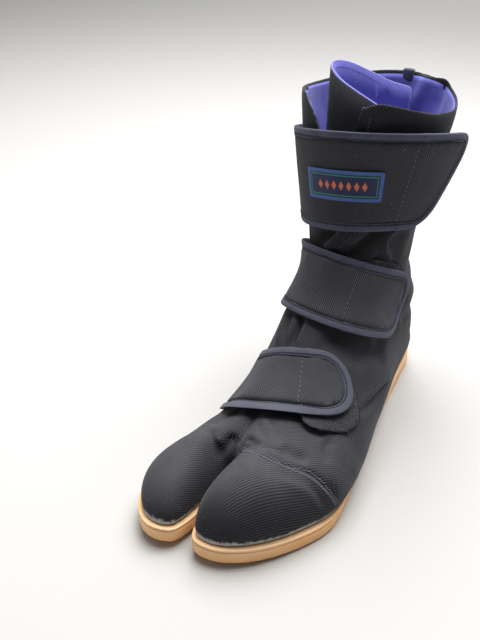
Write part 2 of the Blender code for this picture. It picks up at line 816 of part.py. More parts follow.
def make_upper(outline):
    """Hollow upper: the outer and inner skins joined along every free edge."""
    outer_verts, faces = grid_faces(*upper_grid(outline, 0.0))
    inner_verts, _ = grid_faces(*upper_grid(outline, WALL))
    bm = bmesh.new()
    outer = [bm.verts.new(point) for point in outer_verts]
    inner = [bm.verts.new(point) for point in inner_verts]
    edge_use = {}
    for face in faces:
        bm.faces.new([outer[corner] for corner in face])
        bm.faces.new([inner[corner] for corner in reversed(face)])
        for a, b in zip(face, face[1:] + face[:1]):
            key = (min(a, b), max(a, b))
            edge_use.setdefault(key, []).append((a, b))
    for uses in edge_use.values():
        if len(uses) == 1:
            a, b = uses[0]
            bm.faces.new((outer[b], outer[a], inner[a], inner[b]))
    return add_node("upper", bm, "black_twill", smooth_angle=50.0)


def wrapping_skin(outline):
    """Outer face of the upper, with the throat bridged as a strap bridges it."""
    return BVHTree.FromPolygons(*grid_faces(*upper_grid(outline, 0.0, throat_depth=0.0)))


def make_front_gusset():
    """Curled sheet that stands in the throat of the collar."""
    points = [Vector((x_at(p.across), y_at(p.along), z_at(p.top))) for p in GUSSET_PATH]
    bottoms = [z_at(p.bottom) for p in GUSSET_PATH]
    steps = GUSSET_STEPS
    levels = GUSSET_LEVELS
    path = smooth_path(points, steps, closed=False)
    bm = bmesh.new()
    rows = []
    for index, point in enumerate(path):
        before = path[max(index - 1, 0)]
        after = path[min(index + 1, len(path) - 1)]
        along = Vector((after.x - before.x, after.y - before.y)).normalized()
        normal = Vector((-along.y, along.x)) * (GUSSET_THICKNESS / 2.0)
        place = index / steps
        low = bottoms[min(int(place), len(bottoms) - 1)]
        high = bottoms[min(int(place) + 1, len(bottoms) - 1)]
        bottom = low + (high - low) * (place - int(place))
        row = []
        for side in (1.0, -1.0):
            heights = [bottom + (point.z - bottom) * level / levels for level in range(levels + 1)]
            if side < 0.0:
                heights.reverse()
            for height in heights:
                x = point.x + normal.x * side
                row.append(bm.verts.new((x, point.y + normal.y * side, height)))
        rows.append(row)
    count = len(rows[0])
    for near, far in zip(rows, rows[1:]):
        for index in range(count):
            after = (index + 1) % count
            bm.faces.new((near[index], near[after], far[after], far[index]))
    for row in (rows[0], rows[-1]):
        for index in range(levels):
            bm.faces.new((row[index], row[index + 1], row[count - 2 - index], row[count - 1 - index]))
    return add_node("front_gusset", bm, "black_twill")


class Wrap:
    """Maps a strap's flat pattern onto the upper's outer face."""

    def __init__(self, strap, skin):
        self.strap = strap
        self.skin = skin
        self.anchor = Vector(strap.anchor)
        self.axis = Vector(strap.axis).normalized()
        front = Vector((0.0, -1.0, 0.0))
        self.front = (front - self.axis * front.dot(self.axis)).normalized()
        self.outer = self.axis.cross(self.front)
        if self.outer.x < 0.0:
            self.outer.negate()
        self.angles = [math.radians(strap.start + WRAP_TURN * step) for step in range(WRAP_TURNS)]
        self.lengths = [0.0]
        places = [self.touch(angle, 0.0) for angle in self.angles]
        for a, b in zip(places, places[1:]):
            self.lengths.append(self.lengths[-1] + (b - a).length)

    def direction(self, angle):
        """Ray direction at an angle round the strap's axis."""
        return self.front * math.cos(angle) + self.outer * math.sin(angle)

    def touch(self, angle, across):
        """Point of the upper's face that a ray at this angle meets."""
        origin = self.anchor + self.axis * across
        ray = self.direction(angle)
        reach = 0.0
        for turn, shift in PROBES:
            start = origin + self.axis * shift
            hit = self.skin.ray_cast(start, self.direction(angle + turn))[0]
            if hit is not None:
                reach = max(reach, (hit - start).length)
        return origin + ray * reach

    def angle_at(self, along):
        """Angle at a length along the strap."""
        for index in range(len(self.lengths) - 1):
            if self.lengths[index + 1] >= along:
                break
        span = self.lengths[index + 1] - self.lengths[index]
        share = (along - self.lengths[index]) / span
        return self.angles[index] + (self.angles[index + 1] - self.angles[index]) * share

    def place(self, along, across, height):
        """Point above the upper's face at a flat place and a height."""
        angle = self.angle_at(along)
        return self.touch(angle, across) + self.direction(angle) * height


def rounded_loop(corners, step):
    """Closed flat loop through corners, each an (along, across, radius)."""
    loop = []
    count = len(corners)
    for index in range(count):
        corner = Vector(corners[index][:2])
        radius = corners[index][2]
        to_before = (Vector(corners[index - 1][:2]) - corner).normalized()
        to_after = (Vector(corners[(index + 1) % count][:2]) - corner).normalized()
        half_angle = to_before.angle(to_after) / 2.0
        reach = radius / math.tan(half_angle)
        centre = corner + (to_before + to_after).normalized() * (radius / math.sin(half_angle))
        start = corner + to_before * reach - centre
        end = corner + to_after * reach - centre
        sweep = start.angle_signed(end)
        pieces = max(2, math.ceil(abs(sweep) * radius / (step * 0.75)))
        for piece in range(pieces + 1):
            turn = -sweep * piece / pieces
            x = start.x * math.cos(turn) - start.y * math.sin(turn)
            y = start.x * math.sin(turn) + start.y * math.cos(turn)
            loop.append(centre + Vector((x, y)))
    dense = []
    for index in range(len(loop)):
        a = loop[index]
        b = loop[(index + 1) % len(loop)]
        parts = max(1, math.ceil((b - a).length / step))
        dense.extend(a + (b - a) * (part / parts) for part in range(parts))
    return dense


def strap_loop(strap):
    """Outer outline of a strap's flat pattern."""
    half = strap.width / 2.0
    return rounded_loop((
        (0.0, -half, STRAP_START_ROUND),
        (strap.lower, -half, strap.lower_round),
        (strap.upper, half, strap.upper_round),
        (0.0, half, STRAP_START_ROUND),
    ), WRAP_STEP)


def lay_on(bm, wrap, lift):
    """Wrap a flat solid, whose z is a height, onto the upper."""
    strap = wrap.strap
    longest = max(strap.upper, strap.lower)
    for vert in bm.verts:
        along, across, height = vert.co
        over = max(0.0, min(1.0, 1.0 - (longest - along) / (longest * STAND_OFF_RUN)))
        rise = lift - strap.sink + over * over * strap.stand_off
        rise -= STRAP_SEWN_SINK * max(0.0, 1.0 - along / STRAP_SEWN_RUN)
        if strap.cover:
            near = (along - (longest - strap.cover * COVER_START)) / (strap.cover * COVER_RAMP)
            rise += (LOOP_THICKNESS + LOOP_CLEARANCE) * max(0.0, min(1.0, near))
        vert.co = wrap.place(along, across, rise + height)


def flat_solid(loop, bottom, top):
    """Flat plate inside a loop, cut into strips that can bend."""
    bm = loft_rings([
        [Vector((p.x, p.y, bottom)) for p in loop],
        [Vector((p.x, p.y, top)) for p in loop],
    ])
    for axis in (0, 1):
        low = min(p[axis] for p in loop)
        high = max(p[axis] for p in loop)
        parts = max(1, round((high - low) / (WRAP_STEP * (1.0 if axis == 0 else 1.25))))
        slice_along(bm, [low + (high - low) * part / parts for part in range(1, parts)], axis)
    return bm


def make_strap(wrap):
    """Panel of one strap and the tape bound round its edge."""
    strap = wrap.strap
    outer = strap_loop(strap)
    inner = inset_loop(outer, BINDING_WIDTH)
    panel_edge = inset_loop(outer, BINDING_WIDTH + FIT_GAP)
    sink = (BINDING_THICKNESS - STRAP_THICKNESS) / 2.0
    panel = flat_solid(panel_edge, sink, sink + STRAP_THICKNESS)
    lay_on(panel, wrap, STRAP_LIFT)
    add_node(f"strap_{strap.name}", panel, "black_twill")

    bm = bmesh.new()
    slim = inset_loop(outer, BINDING_CORNER)
    rings = [
        [(p, BINDING_SHOULDER) for p in outer],
        [(p, BINDING_THICKNESS - BINDING_SHOULDER) for p in outer],
        [(p, BINDING_THICKNESS) for p in slim],
        [(p, BINDING_THICKNESS) for p in inner],
        [(p, 0.0) for p in inner],
        [(p, 0.0) for p in slim],
    ]
    rows = [[bm.verts.new((p.x, p.y, height)) for p, height in ring] for ring in rings]
    count = len(outer)
    for number in range(len(rows)):
        low = rows[number]
        high = rows[(number + 1) % len(rows)]
        for index in range(count):
            after = (index + 1) % count
            bm.faces.new((low[index], low[after], high[after], high[index]))
    lay_on(bm, wrap, STRAP_LIFT)
    add_node(f"binding_{strap.name}", bm, "navy_binding")


def make_loop_patch(patch, wrap):
    """Rounded patch of fastener pile on the upper, under a strap's end."""
    radius = patch.width * LOOP_ROUND
    ends = (patch.centre - patch.length / 2.0, patch.centre + patch.length / 2.0)
    low = patch.shift - patch.width / 2.0
    high = patch.shift + patch.width / 2.0
    loop = rounded_loop((
        (ends[0], low, STRAP_START_ROUND),
        (ends[1], low, radius),
        (ends[1], high, radius),
        (ends[0], high, STRAP_START_ROUND),
    ), WRAP_STEP)
    bm = flat_solid(loop, 0.0, LOOP_THICKNESS)
    for vert in bm.verts:
        along, across, height = vert.co
        vert.co = wrap.place(along, across, height + FIT_GAP - wrap.strap.sink)
    add_node(f"loop_patch_{patch.strap}", bm, "loop_pile")


def make_label(wrap):
    """Small woven patch sewn flat on the top strap."""
    half = LABEL_LENGTH / 2.0
    low = LABEL_SHIFT - LABEL_WIDTH / 2.0
    high = LABEL_SHIFT + LABEL_WIDTH / 2.0
    loop = rounded_loop((
        (LABEL_CENTRE - half, low, LABEL_ROUND),
        (LABEL_CENTRE + half, low, LABEL_ROUND),
        (LABEL_CENTRE + half, high, LABEL_ROUND),
        (LABEL_CENTRE - half, high, LABEL_ROUND),
    ), WRAP_STEP)
    base = (BINDING_THICKNESS + STRAP_THICKNESS) / 2.0 + FIT_GAP
    bm = flat_solid(loop, base, base + LABEL_THICKNESS)
    lay_on(bm, wrap, STRAP_LIFT)
    add_node("label_patch", bm, "woven_label")


def build():
    """Make every piece of the shoe."""
    clear_scene()
    outline = sole_outline()
    make_outsole(outline)
    make_insole(outline)
    make_upper(outline)
    make_front_gusset()
    skin = wrapping_skin(outline)
    wraps = {strap.name: Wrap(strap, skin) for strap in STRAPS}
    for wrap in wraps.values():
        make_strap(wrap)
    for patch in LOOP_PATCHES:
        make_loop_patch(patch, wraps[patch.strap])
    make_label(wraps["top"])


build()
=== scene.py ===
import math
import random
from collections import namedtuple

import bmesh
import bpy
import numpy as np
from bpy.props import FloatProperty, FloatVectorProperty, IntProperty, PointerProperty
from mathutils import Matrix, Vector
from mathutils.bvhtree import BVHTree


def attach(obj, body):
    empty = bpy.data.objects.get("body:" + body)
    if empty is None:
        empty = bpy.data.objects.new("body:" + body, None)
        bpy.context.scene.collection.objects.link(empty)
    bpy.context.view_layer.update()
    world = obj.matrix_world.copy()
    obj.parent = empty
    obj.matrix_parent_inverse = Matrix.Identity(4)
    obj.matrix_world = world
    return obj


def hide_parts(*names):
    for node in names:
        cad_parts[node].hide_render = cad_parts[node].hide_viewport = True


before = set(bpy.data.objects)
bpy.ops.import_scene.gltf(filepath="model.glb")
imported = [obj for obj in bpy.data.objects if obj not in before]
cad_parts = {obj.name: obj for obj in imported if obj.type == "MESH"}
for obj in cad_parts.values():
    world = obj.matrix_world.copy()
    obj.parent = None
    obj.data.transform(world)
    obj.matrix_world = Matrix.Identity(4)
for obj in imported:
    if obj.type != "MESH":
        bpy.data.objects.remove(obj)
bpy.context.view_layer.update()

bl_info = {
    "name": "Jika Tabi",
    "version": (1, 0, 0),
    "blender": (4, 5, 0),
    "location": "3D View > Sidebar > Tabi",
    "description": "Dresses a split-toe work boot in twill, bias tape, lining and gum rubber",
    "category": "Object",
}

MM = 0.001
CLOTH_UV = "cloth"
PHOTO_HEIGHT = 640

# Places in millimetres, in the frame of the shoe: x to the outer side,
# y to the heel, z up.

# A line down the middle of the hollow inside, to tell the outer face
# of the wall from the inner one.
HOLLOW_LINE = (
    (0, -22, 214), (0, -24, 185), (0, -28, 150), (0, -33, 115), (0, -42, 85), (0, -55, 55),
    (0, -20, 45), (0, 0, 30), (1, -80, 38), (2, -110, 32), (4, -140, 29), (-27, -182, 25),
    (-29, -200, 23), (-30, -222, 22), (14, -170, 30), (22, -190, 28), (20, -222, 24), (38, -185, 24),
)

# Soft folds of the upper: height of the ridge, or depth of the trough
# when below zero, its half width, and the line that it runs along.
# A side turns it into a step, raised on that side and fading over reach.
Fold = namedtuple("Fold", "name height reach side points")
FOLDS = (
    Fold("tube by the overlap", 3.3, 3.2, None, ((-13, -99, 84), (-12, -107, 76), (-9, -117, 68))),
    Fold("tube on the inner side", 3.2, 4.0, None, ((-26, -95, 84), (-23, -104, 73), (-17, -118, 66))),
    Fold("gap between the tubes", -4.2, 2.3, None, ((-20, -96, 85), (-16, -106, 76), (-12, -118, 68))),
    Fold("gap by the overlap", -3.3, 1.9, None, ((-9, -98, 85), (-8, -107, 76), (-6, -118, 67))),
    Fold("overlap edge, low", 1.3, 9.0, (1, 0, 0), ((-6, -97, 88), (-5, -108, 77), (-4, -119, 66))),
    Fold("overlap edge, high", 1.6, 10.0, (1, 0, 0), ((14, -73, 145), (9, -78, 136), (1, -82, 126))),
    Fold("roll beside the overlap", 3.4, 2.8, None, ((8, -77, 143), (3, -80, 134), (-6, -81, 124))),
    Fold("pocket under the top strap", -4.2, 3.4, None, ((2, -78, 141), (-4, -80, 134), (-12, -79, 130))),
    Fold("hollow across the ankle", -5.0, 5.4, None,
         ((34, -48, 146), (25, -60, 136), (17, -70, 129), (7, -79, 119))),
    Fold("roll below the hollow", 1.9, 4.0, None, ((28, -58, 129), (20, -68, 121), (10, -77, 112))),
    Fold("rim of the ankle bulge", 3.0, 3.0, None,
         ((33, -44, 138), (27, -56, 132), (26, -57, 122), (31, -47, 110))),
    Fold("bulge behind the rim", 1.7, 8.0, None, ((35, -33, 131), (35, -35, 120), (35, -37, 108))),
    Fold("side wave, high", -1.5, 5.0, None, ((34, -24, 98), (31, -2, 95), (21, 9, 94))),
    Fold("side wave, middle", 1.3, 6.0, None, ((35, -26, 73), (31, -2, 71), (21, 10, 70))),
    Fold("side wave, low", -1.4, 4.0, None, ((36, -28, 57), (32, -2, 56), (22, 12, 56))),
    Fold("waist of the back", -2.6, 8.0, None, ((16, 3, 118), (6, 6, 114), (-8, 6, 116))),
    Fold("heel cord fold", -1.8, 4.2, None, ((31, -14, 104), (24, -4, 99), (10, 4, 97))),
    Fold("side fold under the middle strap", -1.7, 4.6, None,
         ((33, -76, 66), (35, -52, 60), (35, -26, 55))),
    Fold("hollow below the middle strap", -2.4, 6.5, None, ((6, -103, 74), (22, -101, 68), (36, -90, 57))),
    Fold("hollow at the side", -1.7, 7.0, None, ((31, -92, 67), (38, -80, 60), (41, -62, 50))),
    Fold("side ridge, upper", 1.3, 2.4, None,
         ((45, -124, 45), (45, -104, 44), (44, -84, 41), (41, -52, 31))),
    Fold("groove below it", -1.2, 2.0, None,
         ((46, -126, 41), (47, -106, 40), (46, -86, 37), (43, -62, 30))),
    Fold("side ridge, lower", 1.0, 2.4, None,
         ((47, -131, 40), (48, -112, 37), (48, -92, 33), (45, -70, 28))),
    Fold("quarter edge, front", 1.1, 12.0, (0.2, 1, 0),
         ((46, -141, 42), (45, -152, 42), (47, -163, 42), (51, -171, 40), (57, -178, 34), (62, -180, 22))),
    Fold("quarter edge, top", 0.8, 12.0, (0, 0, -1),
         ((46, -141, 42), (47, -128, 41), (49, -112, 37), (50, -96, 31))),
    Fold("pinch by the quarter", -1.6, 2.4, None, ((44, -153, 43), (46, -165, 43), (51, -173, 39))),
    Fold("vamp seam dip", -0.9, 2.2, None,
         ((2, -188, 40), (14, -195, 48), (26, -196, 51), (37, -193, 49), (48, -187, 43), (57, -183, 34),
          (62, -177, 20))),
    Fold("toe cap edge", -1.3, 7.0, (0.85, 0.5, 0.1),
         ((30, -209, 51), (40, -203, 46), (49, -196, 40), (56, -192, 30), (59, -190, 18))),
    Fold("toe cap lip", 0.5, 2.2, None,
         ((34, -208, 49), (43, -202, 44), (51, -196, 37), (57, -193, 29), (60, -191, 20))),
    Fold("crotch fold, inner side", 1.5, 2.4, None,
         ((-18, -190, 42), (-11, -189, 39), (-6, -190, 34), (-7, -193, 28))),
    Fold("crotch hollow", -2.6, 3.6, None, ((-6, -180, 42), (-7, -188, 37), (-6, -196, 32))),
    Fold("pinch at the seam's end", -1.8, 1.9, None, ((2, -184, 45), (9, -188, 49), (16, -191, 51))),
    Fold("vamp wrinkle", -1.1, 2.0, None, ((2, -170, 48), (10, -179, 52), (19, -186, 53))),
    Fold("vamp wrinkle's ridge", 0.9, 2.2, None, ((5, -168, 49), (13, -177, 53), (22, -183, 53))),
    Fold("vamp wrinkle, outer", -1.0, 2.0, None, ((9, -166, 50), (17, -175, 53), (25, -181, 53))),
    Fold("hollow on the vamp", -2.2, 4.6, None, ((27, -185, 53), (37, -184, 50), (44, -179, 47))),
    Fold("hollow by the pile patch", -1.3, 5.0, None, ((22, -164, 54), (34, -160, 52), (42, -150, 46))),
    Fold("centre seam", -0.9, 1.8, None,
         ((-4, -156, 50), (-3, -167, 47), (-2, -178, 43), (-3, -186, 38))),
    Fold("inner vamp fold", -1.8, 4.0, None, ((-12, -160, 45), (-18, -172, 41), (-22, -184, 40))),
    Fold("inner side fold", -1.6, 4.5, None, ((-38, -120, 40), (-38, -100, 37), (-36, -76, 33))),
    Fold("inner ankle hollow", -3.2, 6.0, None, ((-33, -66, 76), (-34, -48, 70), (-32, -30, 64))),
    Fold("inner ankle roll", 1.8, 4.5, None, ((-34, -62, 86), (-34, -44, 80), (-31, -24, 74))),
    Fold("inner shaft hollow", -3.0, 6.0, None, ((-28, -58, 132), (-32, -42, 126), (-29, -22, 122))),
    Fold("back fold, low", -1.6, 4.0, None, ((-26, 2, 74), (-10, 12, 70), (10, 13, 70), (26, 2, 74))),
    Fold("back seam", 0.7, 1.5, None,
         ((-3, 26, 214), (-2, 21, 180), (0, 13, 140), (0, 8, 110), (0, 14, 70), (0, 27, 25))),
    Fold("collar fold at the back", -3.2, 4.2, None, ((12, 22, 222), (8, 23, 206), (2, 22, 190))),
    Fold("collar swell at the back", 2.0, 6.0, None, ((24, 17, 219), (22, 17, 205), (18, 17, 190))),
    Fold("collar dent, outer side", -2.2, 6.0, None, ((36, -45, 210), (38, -32, 204), (37, -18, 200))),
    Fold("collar dent, front", -1.5, 5.0, None, ((22, -78, 210), (30, -68, 206), (35, -56, 206))),
    Fold("collar corner, inner side", -3.4, 5.0, None, ((-24, -56, 220), (-26, -52, 208), (-28, -50, 196))),
)

CURVE_PARTS = 12
FOLD_SCALE = 1.35
FOLD_STEP = 3.0
FOLD_END = 0.22
STEP_EDGE = 0.45
STEP_REACH = 2.2

# Where the collar ends in a square corner beside the throat
COLLAR_CORNER_X = 12.0
THROAT_MIDDLE_X = -6.0
THROAT_HALF = 16.0
THROAT_DEPTH = 34.0
THROAT_FOOT_Z = 150.0
COLLAR_Z = 206.0
CORNER_FRONT_Y = -60.0
CORNER_POWER = 1.6
CORNER_EDGE = (0.8, 1.2)

# Dust, with painted top light, lies thicker on the toes: where it starts, over how far, how much
TOE_DUST_AND_TOP_LIGHT = (-165.0, 25.0, 0.9)
DUST_AND_TOP_LIGHT_POWER = 1.5

# Twill of the upper: how light it is painted, a factor of painted shade, and where its panels' ribs turn
UPPER_PAINTED_SHADE = 0.80
SHAFT_MIDDLE_Y = -30.0
SHAFT_RADIUS = 42.0
TOE_TOP_Z = 36.0
TOE_BEND = 3.0
INNER_VAMP_X = -3.0
INNER_VAMP_END_Y = -184.0
QUARTER_TOP_Z = 41.0
QUARTER_LOW_Z = 27.0
QUARTER_FRONT_Y = -141.0

# One stitch: its length, radius, lift off the cloth, and slant
Stitch = namedtuple("Stitch", "length radius lift slant")
UPPER_STITCH = Stitch(1.75, 0.34, 0.12, 0.25)
VAMP_STITCH = Stitch(1.9, 0.44, 0.16, 0.35)
LINING_STITCH = Stitch(1.6, 0.22, 0.06, 0.0)
TAPE_STITCH = Stitch(1.7, 0.30, 0.05, 0.0)
CROSS_STITCH = Stitch(1.5, 0.24, 0.03, 0.0)
STITCH_BOW = 0.35
UPPER_THREAD_SHADE = 1.5
VAMP_THREAD_SHADE = 2.6
LINING_THREAD_SHADE = 0.45

# Rows of stitches on the upper, as lines in the frame of the shoe, with
# the stitch pitch and how far each further row stands from the first.
Seam = namedtuple("Seam", "name pitch rows across points")
SEAMS = (
    Seam("vamp", 1.9, (-1.5, -0.5, 0.9), (0, 1, 0),
         ((2, -188, 40), (8, -193, 45), (14, -196, 49), (26, -197, 52), (37, -194, 50), (48, -188, 43),
          (57, -184, 34), (62, -179, 20))),
    Seam("quarter_front", 2.2, (0.6, 2.6), (0.2, 1, 0),
         ((46, -141, 42), (45, -152, 42), (47, -163, 42), (51, -171, 40), (57, -178, 34), (62, -180, 22))),
    Seam("quarter_top", 2.2, (0.6, 2.2), (0, 0, -1),
         ((46, -141, 42), (47, -128, 41), (49, -112, 37), (50, -96, 31), (46, -60, 28), (37, -20, 27),
          (26, 14, 27))),
    Seam("quarter_inner", 2.2, (0.6, 2.2), (0, 0, -1),
         ((-41, -150, 36), (-40, -120, 34), (-36, -80, 31), (-32, -40, 28), (-28, 0, 27), (-20, 20, 27))),
    Seam("inner_front", 2.2, (0.6, 2.6), (-0.2, 1, 0),
         ((-41, -150, 36), (-42, -160, 32), (-44, -170, 25), (-45, -178, 17))),
    Seam("overlap_low", 2.4, (1.8,), (1, 0, 0), ((-6, -96, 90), (-5, -108, 77), (-4, -120, 66))),
    Seam("overlap_high", 2.4, (1.8,), (1, 0, 0), ((15, -73, 145), (9, -78, 136), (0, -82, 125))),
    Seam("centre", 2.4, (-1.0, 1.0), (1, 0, 0),
         ((-4, -156, 50), (-3, -167, 47), (-2, -178, 43), (-3, -186, 38))),
    Seam("back", 2.4, (-1.8, 1.8), (1, 0, 0),
         ((-3, 27, 214), (-2, 23, 185), (0, 14, 140), (0, 9, 110), (0, 15, 70), (0, 28, 25))),
    Seam("collar_front", 2.4, (1.4,), (1, 0, 0), ((16, -81, 213), (16, -83, 207), (16, -84, 201))),
)

# Straps: a point inside the foot that each is wrapped round, the line
# across it, the angle of its cross row of stitches and how light its twill is painted, a factor of painted
# light.
Strap = namedtuple("Strap", "name anchor axis cross_row shade")
STRAPS = (
    Strap("lower", (0.5, -111.2, 38.5), (-0.266, 0.594, 0.759), 31.0, 1.2),
    Strap("middle", (-3.0, -45.0, 83.5), (0.070, 0.415, 0.907), 23.5, 1.85),
    Strap("top", (0.0, -30.0, 160.5), (-0.110, 0.196, 0.974), 49.0, 1.4),
)
STRAP_RIB_SLANT = 48.0
TAPE_STITCH_INSET = 1.75
TAPE_STITCH_PITCH = 2.5
TAPE_STITCH_DIP = -0.60
TAPE_DIP_REACH = 0.9
CROSS_ROW_PITCH = 3.1
CROSS_ROW_MARGIN = 1.0
PANEL_TUCK = 0.8
PANEL_SIDE = 0.4
MEASURE_STEP = 3.0
RIM_ANGLE = 55.0
RIM_LEAST = 20
RAY_START = 0.12

# Sewn end of the lower strap, pressed onto the foot: the angles where it
# ends and over which it fades, the gap that it keeps, and how finely and
# how far apart the drop is sampled
SEAT_END = -14.0
SEAT_FADE = 34.0
SEAT_GAP = 0.5
SEAT_STEP = 4.0
SEAT_ROW_STEP = 3.0
SEAT_BLEND = 4.0
SEAT_DEGREE = 0.8

# Lap of the tape at the cross row: depth and width of the pinch, then
# height, place and width of the swell beside it
LAP_PINCH = (-0.55, 0.7)
LAP_SWELL = (0.38, 2.2, 1.5)

# Edges sharper than these stay sharp when a piece is smoothed
PANEL_HOLD = 70.0
TAPE_HOLD = 75.0
GUSSET_HOLD = 60.0
MERGE_GAP = 0.02
QUAD_ANGLES = (50.0, 70.0)

# Top edge of the curled gusset and the middle of its curl
GUSSET_TOP = (
    (25.3, -65.0, 209.0), (16.5, -70.9, 216.7), (4.4, -73.7, 223.3), (-8.8, -71.2, 228.8),
    (-16.5, -65.6, 233.2), (-17.6, -58.0, 235.0), (-12.1, -49.9, 233.2), (-3.3, -40.4, 227.7),
    (6.6, -30.3, 221.1), (16.5, -20.2, 216.7),
)
GUSSET_MIDDLE = (4.0, -55.0)
GUSSET_EDGE = 0.8
GUSSET_RADIUS = 22.0
GUSSET_FACING = 0.35
GUSSET_ROW_IN = 1.5
GUSSET_ROW_DROP = 3.2
GUSSET_ROW_PITCH = 2.2
PIPING_STEP = 1.5
COLLAR_TURN_IN = 2.6

# Lining and the tab over the back seam
LINING_START_Z = 150.0
LINING_LIFT = 0.15
LINING_THICKNESS = 0.45
GUSSET_LINING_THICKNESS = 0.35
BACK_SEAM_X = -4.0
TAB_SIZE = (8.0, 4.6, 8.4)
TAB_DROP = 2.2
TAB_ROUND = 1.5

# Sole: rounding of its edges, angles over which hard pieces keep sharp
# shading, the painted highlight along its top edge, and how high the grime reaches
SOLE_ROUND = 0.45
SOLE_ROUND_ANGLE = 38.0
SOLE_SHADE_ANGLE = 32.0
FLAT_SHADE_ANGLE = 40.0
LABEL_SHADE_ANGLE = 30.0
HIGHLIGHT_EDGE_Z = 8.6
HIGHLIGHT_EDGE_RUN = 1.4
GRIME_HEIGHT = 3.2

# Cement: its lowest line, which rises with the toe spring, how high it
# reaches, and how it thins out behind the toes
CEMENT_Z = 11.5
CEMENT_HEIGHT = 7.0
CEMENT_SPRING = (-189.0, 58.0, 4.8)
CEMENT_FRONT = (-150.0, 30.0, 0.25)

# Pile and lint
PILE_SEEDS = (("lower", 3), ("middle", 5))
PILE_CURLS = 1500
PILE_RADIUS = 0.06
LINT_SEED = 11
LINT_RADIUS = 0.085
LINT_LONG = 0.06
LINT_SHARES = (("twill_upper", 0.55), ("panel_top", 0.2), ("panel_middle", 0.12), ("panel_lower", 0.13))
LINT_MIDDLE_Y = -0.05

# Small patch on the top strap: half sizes and marks
LABEL_HALF = (23.5, 9.25)
LABEL_BORDER = 2.1
LABEL_LINE = (2.9, 3.5)
DIAMOND_PITCH = 4.4
DIAMOND_HALF = (1.5, 2.9)
DIAMOND_ROW_END = 15.4

# Weaves in millimetres: the yarn of the twill as a share of its ribs
YARN_SHARE = 0.62
TAPE_WEAVE = 0.62
LINING_WEAVE = 0.55
THREAD_TWIST = 0.42
LABEL_WEFT = 0.36
LABEL_WARP = 0.44

# Colours that are the same in every look
# The dust tones of twill and tape hold painted top light as well as dust
TWILL_DUST_AND_TOP_LIGHT = (0.090, 0.089, 0.096)
TWILL_FLECK = (0.16, 0.16, 0.18)
TAPE_DUST_AND_TOP_LIGHT = (0.105, 0.105, 0.118)
TAPE_FLECK = (0.20, 0.20, 0.23)
PILE_FLECK = (0.12, 0.12, 0.14)
SOLE_GRIME = (0.20, 0.12, 0.07)
SOLE_SCUFF = (0.80, 0.62, 0.44)
LABEL_FIELD = ((0.012, 0.016, 0.055), (0.030, 0.040, 0.120))
LABEL_ORANGE = ((0.52, 0.10, 0.035), (0.85, 0.27, 0.12))
LABEL_GREEN = ((0.02, 0.16, 0.10), (0.06, 0.36, 0.22))
LABEL_BLUE = ((0.020, 0.055, 0.200), (0.10, 0.20, 0.50))
LINT_TONES = ((0.14, 0.14, 0.15), (0.34, 0.34, 0.35))
COOL_SHEEN = (0.80, 0.82, 0.90, 1.0)
BLUE_SHEEN = (0.80, 0.84, 1.0, 1.0)

# Floor and backdrop in metres: radius and height of each ring
SWEEP = (
    (1.0, 0.0), (2.3, 0.0), (2.6, 0.03), (2.85, 0.14), (3.05, 0.36), (3.15, 0.70), (3.2, 1.2), (3.2, 3.2),
)
SWEEP_SIDES = 64

# Lights in metres: place, what each looks at, and size
Light = namedtuple("Light", "name place target size")
TOP_LIGHT = Light("top_light", (-0.05, 0.26, 1.25), (0.0, -0.06, 0.0), 1.1)
SIDE_LIGHT = Light("side_light", (-1.1, -0.45, 0.80), (0.0, -0.08, 0.12), 0.9)
BACK_LIGHT = Light("back_light", (-0.5, 2.3, 2.4), (-1.0, 3.3, 0.5), 1.5)

# Camera, fitted to the photograph
CAMERA_PLACE = (185.28, -479.27, 331.08)
CAMERA_RIGHT = (0.83985, 0.54267, 0.01261)
CAMERA_UP = (-0.28588, 0.42246, 0.86012)
FOCAL_PIXELS = 757.4
SENSOR_MM = 36.0


def colour_setting(name, description, default):
    """A colour that the user may change."""
    return FloatVectorProperty(
        name=name, description=description, subtype="COLOR", size=3, min=0.0, max=1.0, default=default)


def power_setting(name, description, default):
    """The power of a light, which the user may change."""
    return FloatProperty(name=name, description=description, default=default, min=0.0, unit="POWER")


class StageLook(bpy.types.PropertyGroup):
    """Floor, light and sky round the shoe."""

    floor_colour: colour_setting("Floor", "Colour of the floor", (0.50, 0.493, 0.482))
    sky_colour: colour_setting("Sky", "Colour of the light from all round", (0.93, 0.96, 1.0))
    sky_strength: FloatProperty(
        name="Sky strength", description="Strength of the light from all round", default=0.26, min=0.0)
    top_power: power_setting("Top light", "Power of the large light overhead", 40.0)
    side_power: power_setting("Side light", "Power of the light on the inner side", 2.0)
    back_power: power_setting("Back light", "Power of the light on the backdrop", 42.0)


class ClothLook(bpy.types.PropertyGroup):
    """Colours and weave of the cloth, tape, thread and lining."""

    # Rib tones: the yarn's worn tone plus painted shade between the ribs and painted highlight on them
    twill_dark: colour_setting("Twill, grooves", "Colour between the ribs", (0.0055, 0.0058, 0.0075))
    twill_light: colour_setting("Twill, ribs", "Colour on top of the ribs", (0.058, 0.058, 0.067))
    rib_pitch: FloatProperty(
        name="Rib pitch", description="From one rib of the twill to the next", default=1.2 * MM,
        min=0.2 * MM, unit="LENGTH")
    tape_colour: colour_setting("Tape", "Colour of the bias tape", (0.073, 0.078, 0.115))
    thread_colour: colour_setting("Thread", "Colour of the stitches", (0.034, 0.035, 0.045))
    cross_thread_colour: colour_setting("Cross thread", "Colour of the rows across the straps",
                                        (0.15, 0.153, 0.17))
    lining_colour: colour_setting("Lining", "Colour of the cotton lining", (0.128, 0.128, 0.47))
    piping_colour: colour_setting("Piping", "Colour of the edge of the lining", (0.20, 0.19, 0.50))
    pile_colour: colour_setting("Pile", "Colour of the fuzzy fastener", (0.011, 0.011, 0.015))
    lint_count: IntProperty(name="Lint", description="Number of specks of lint", default=420, min=0)


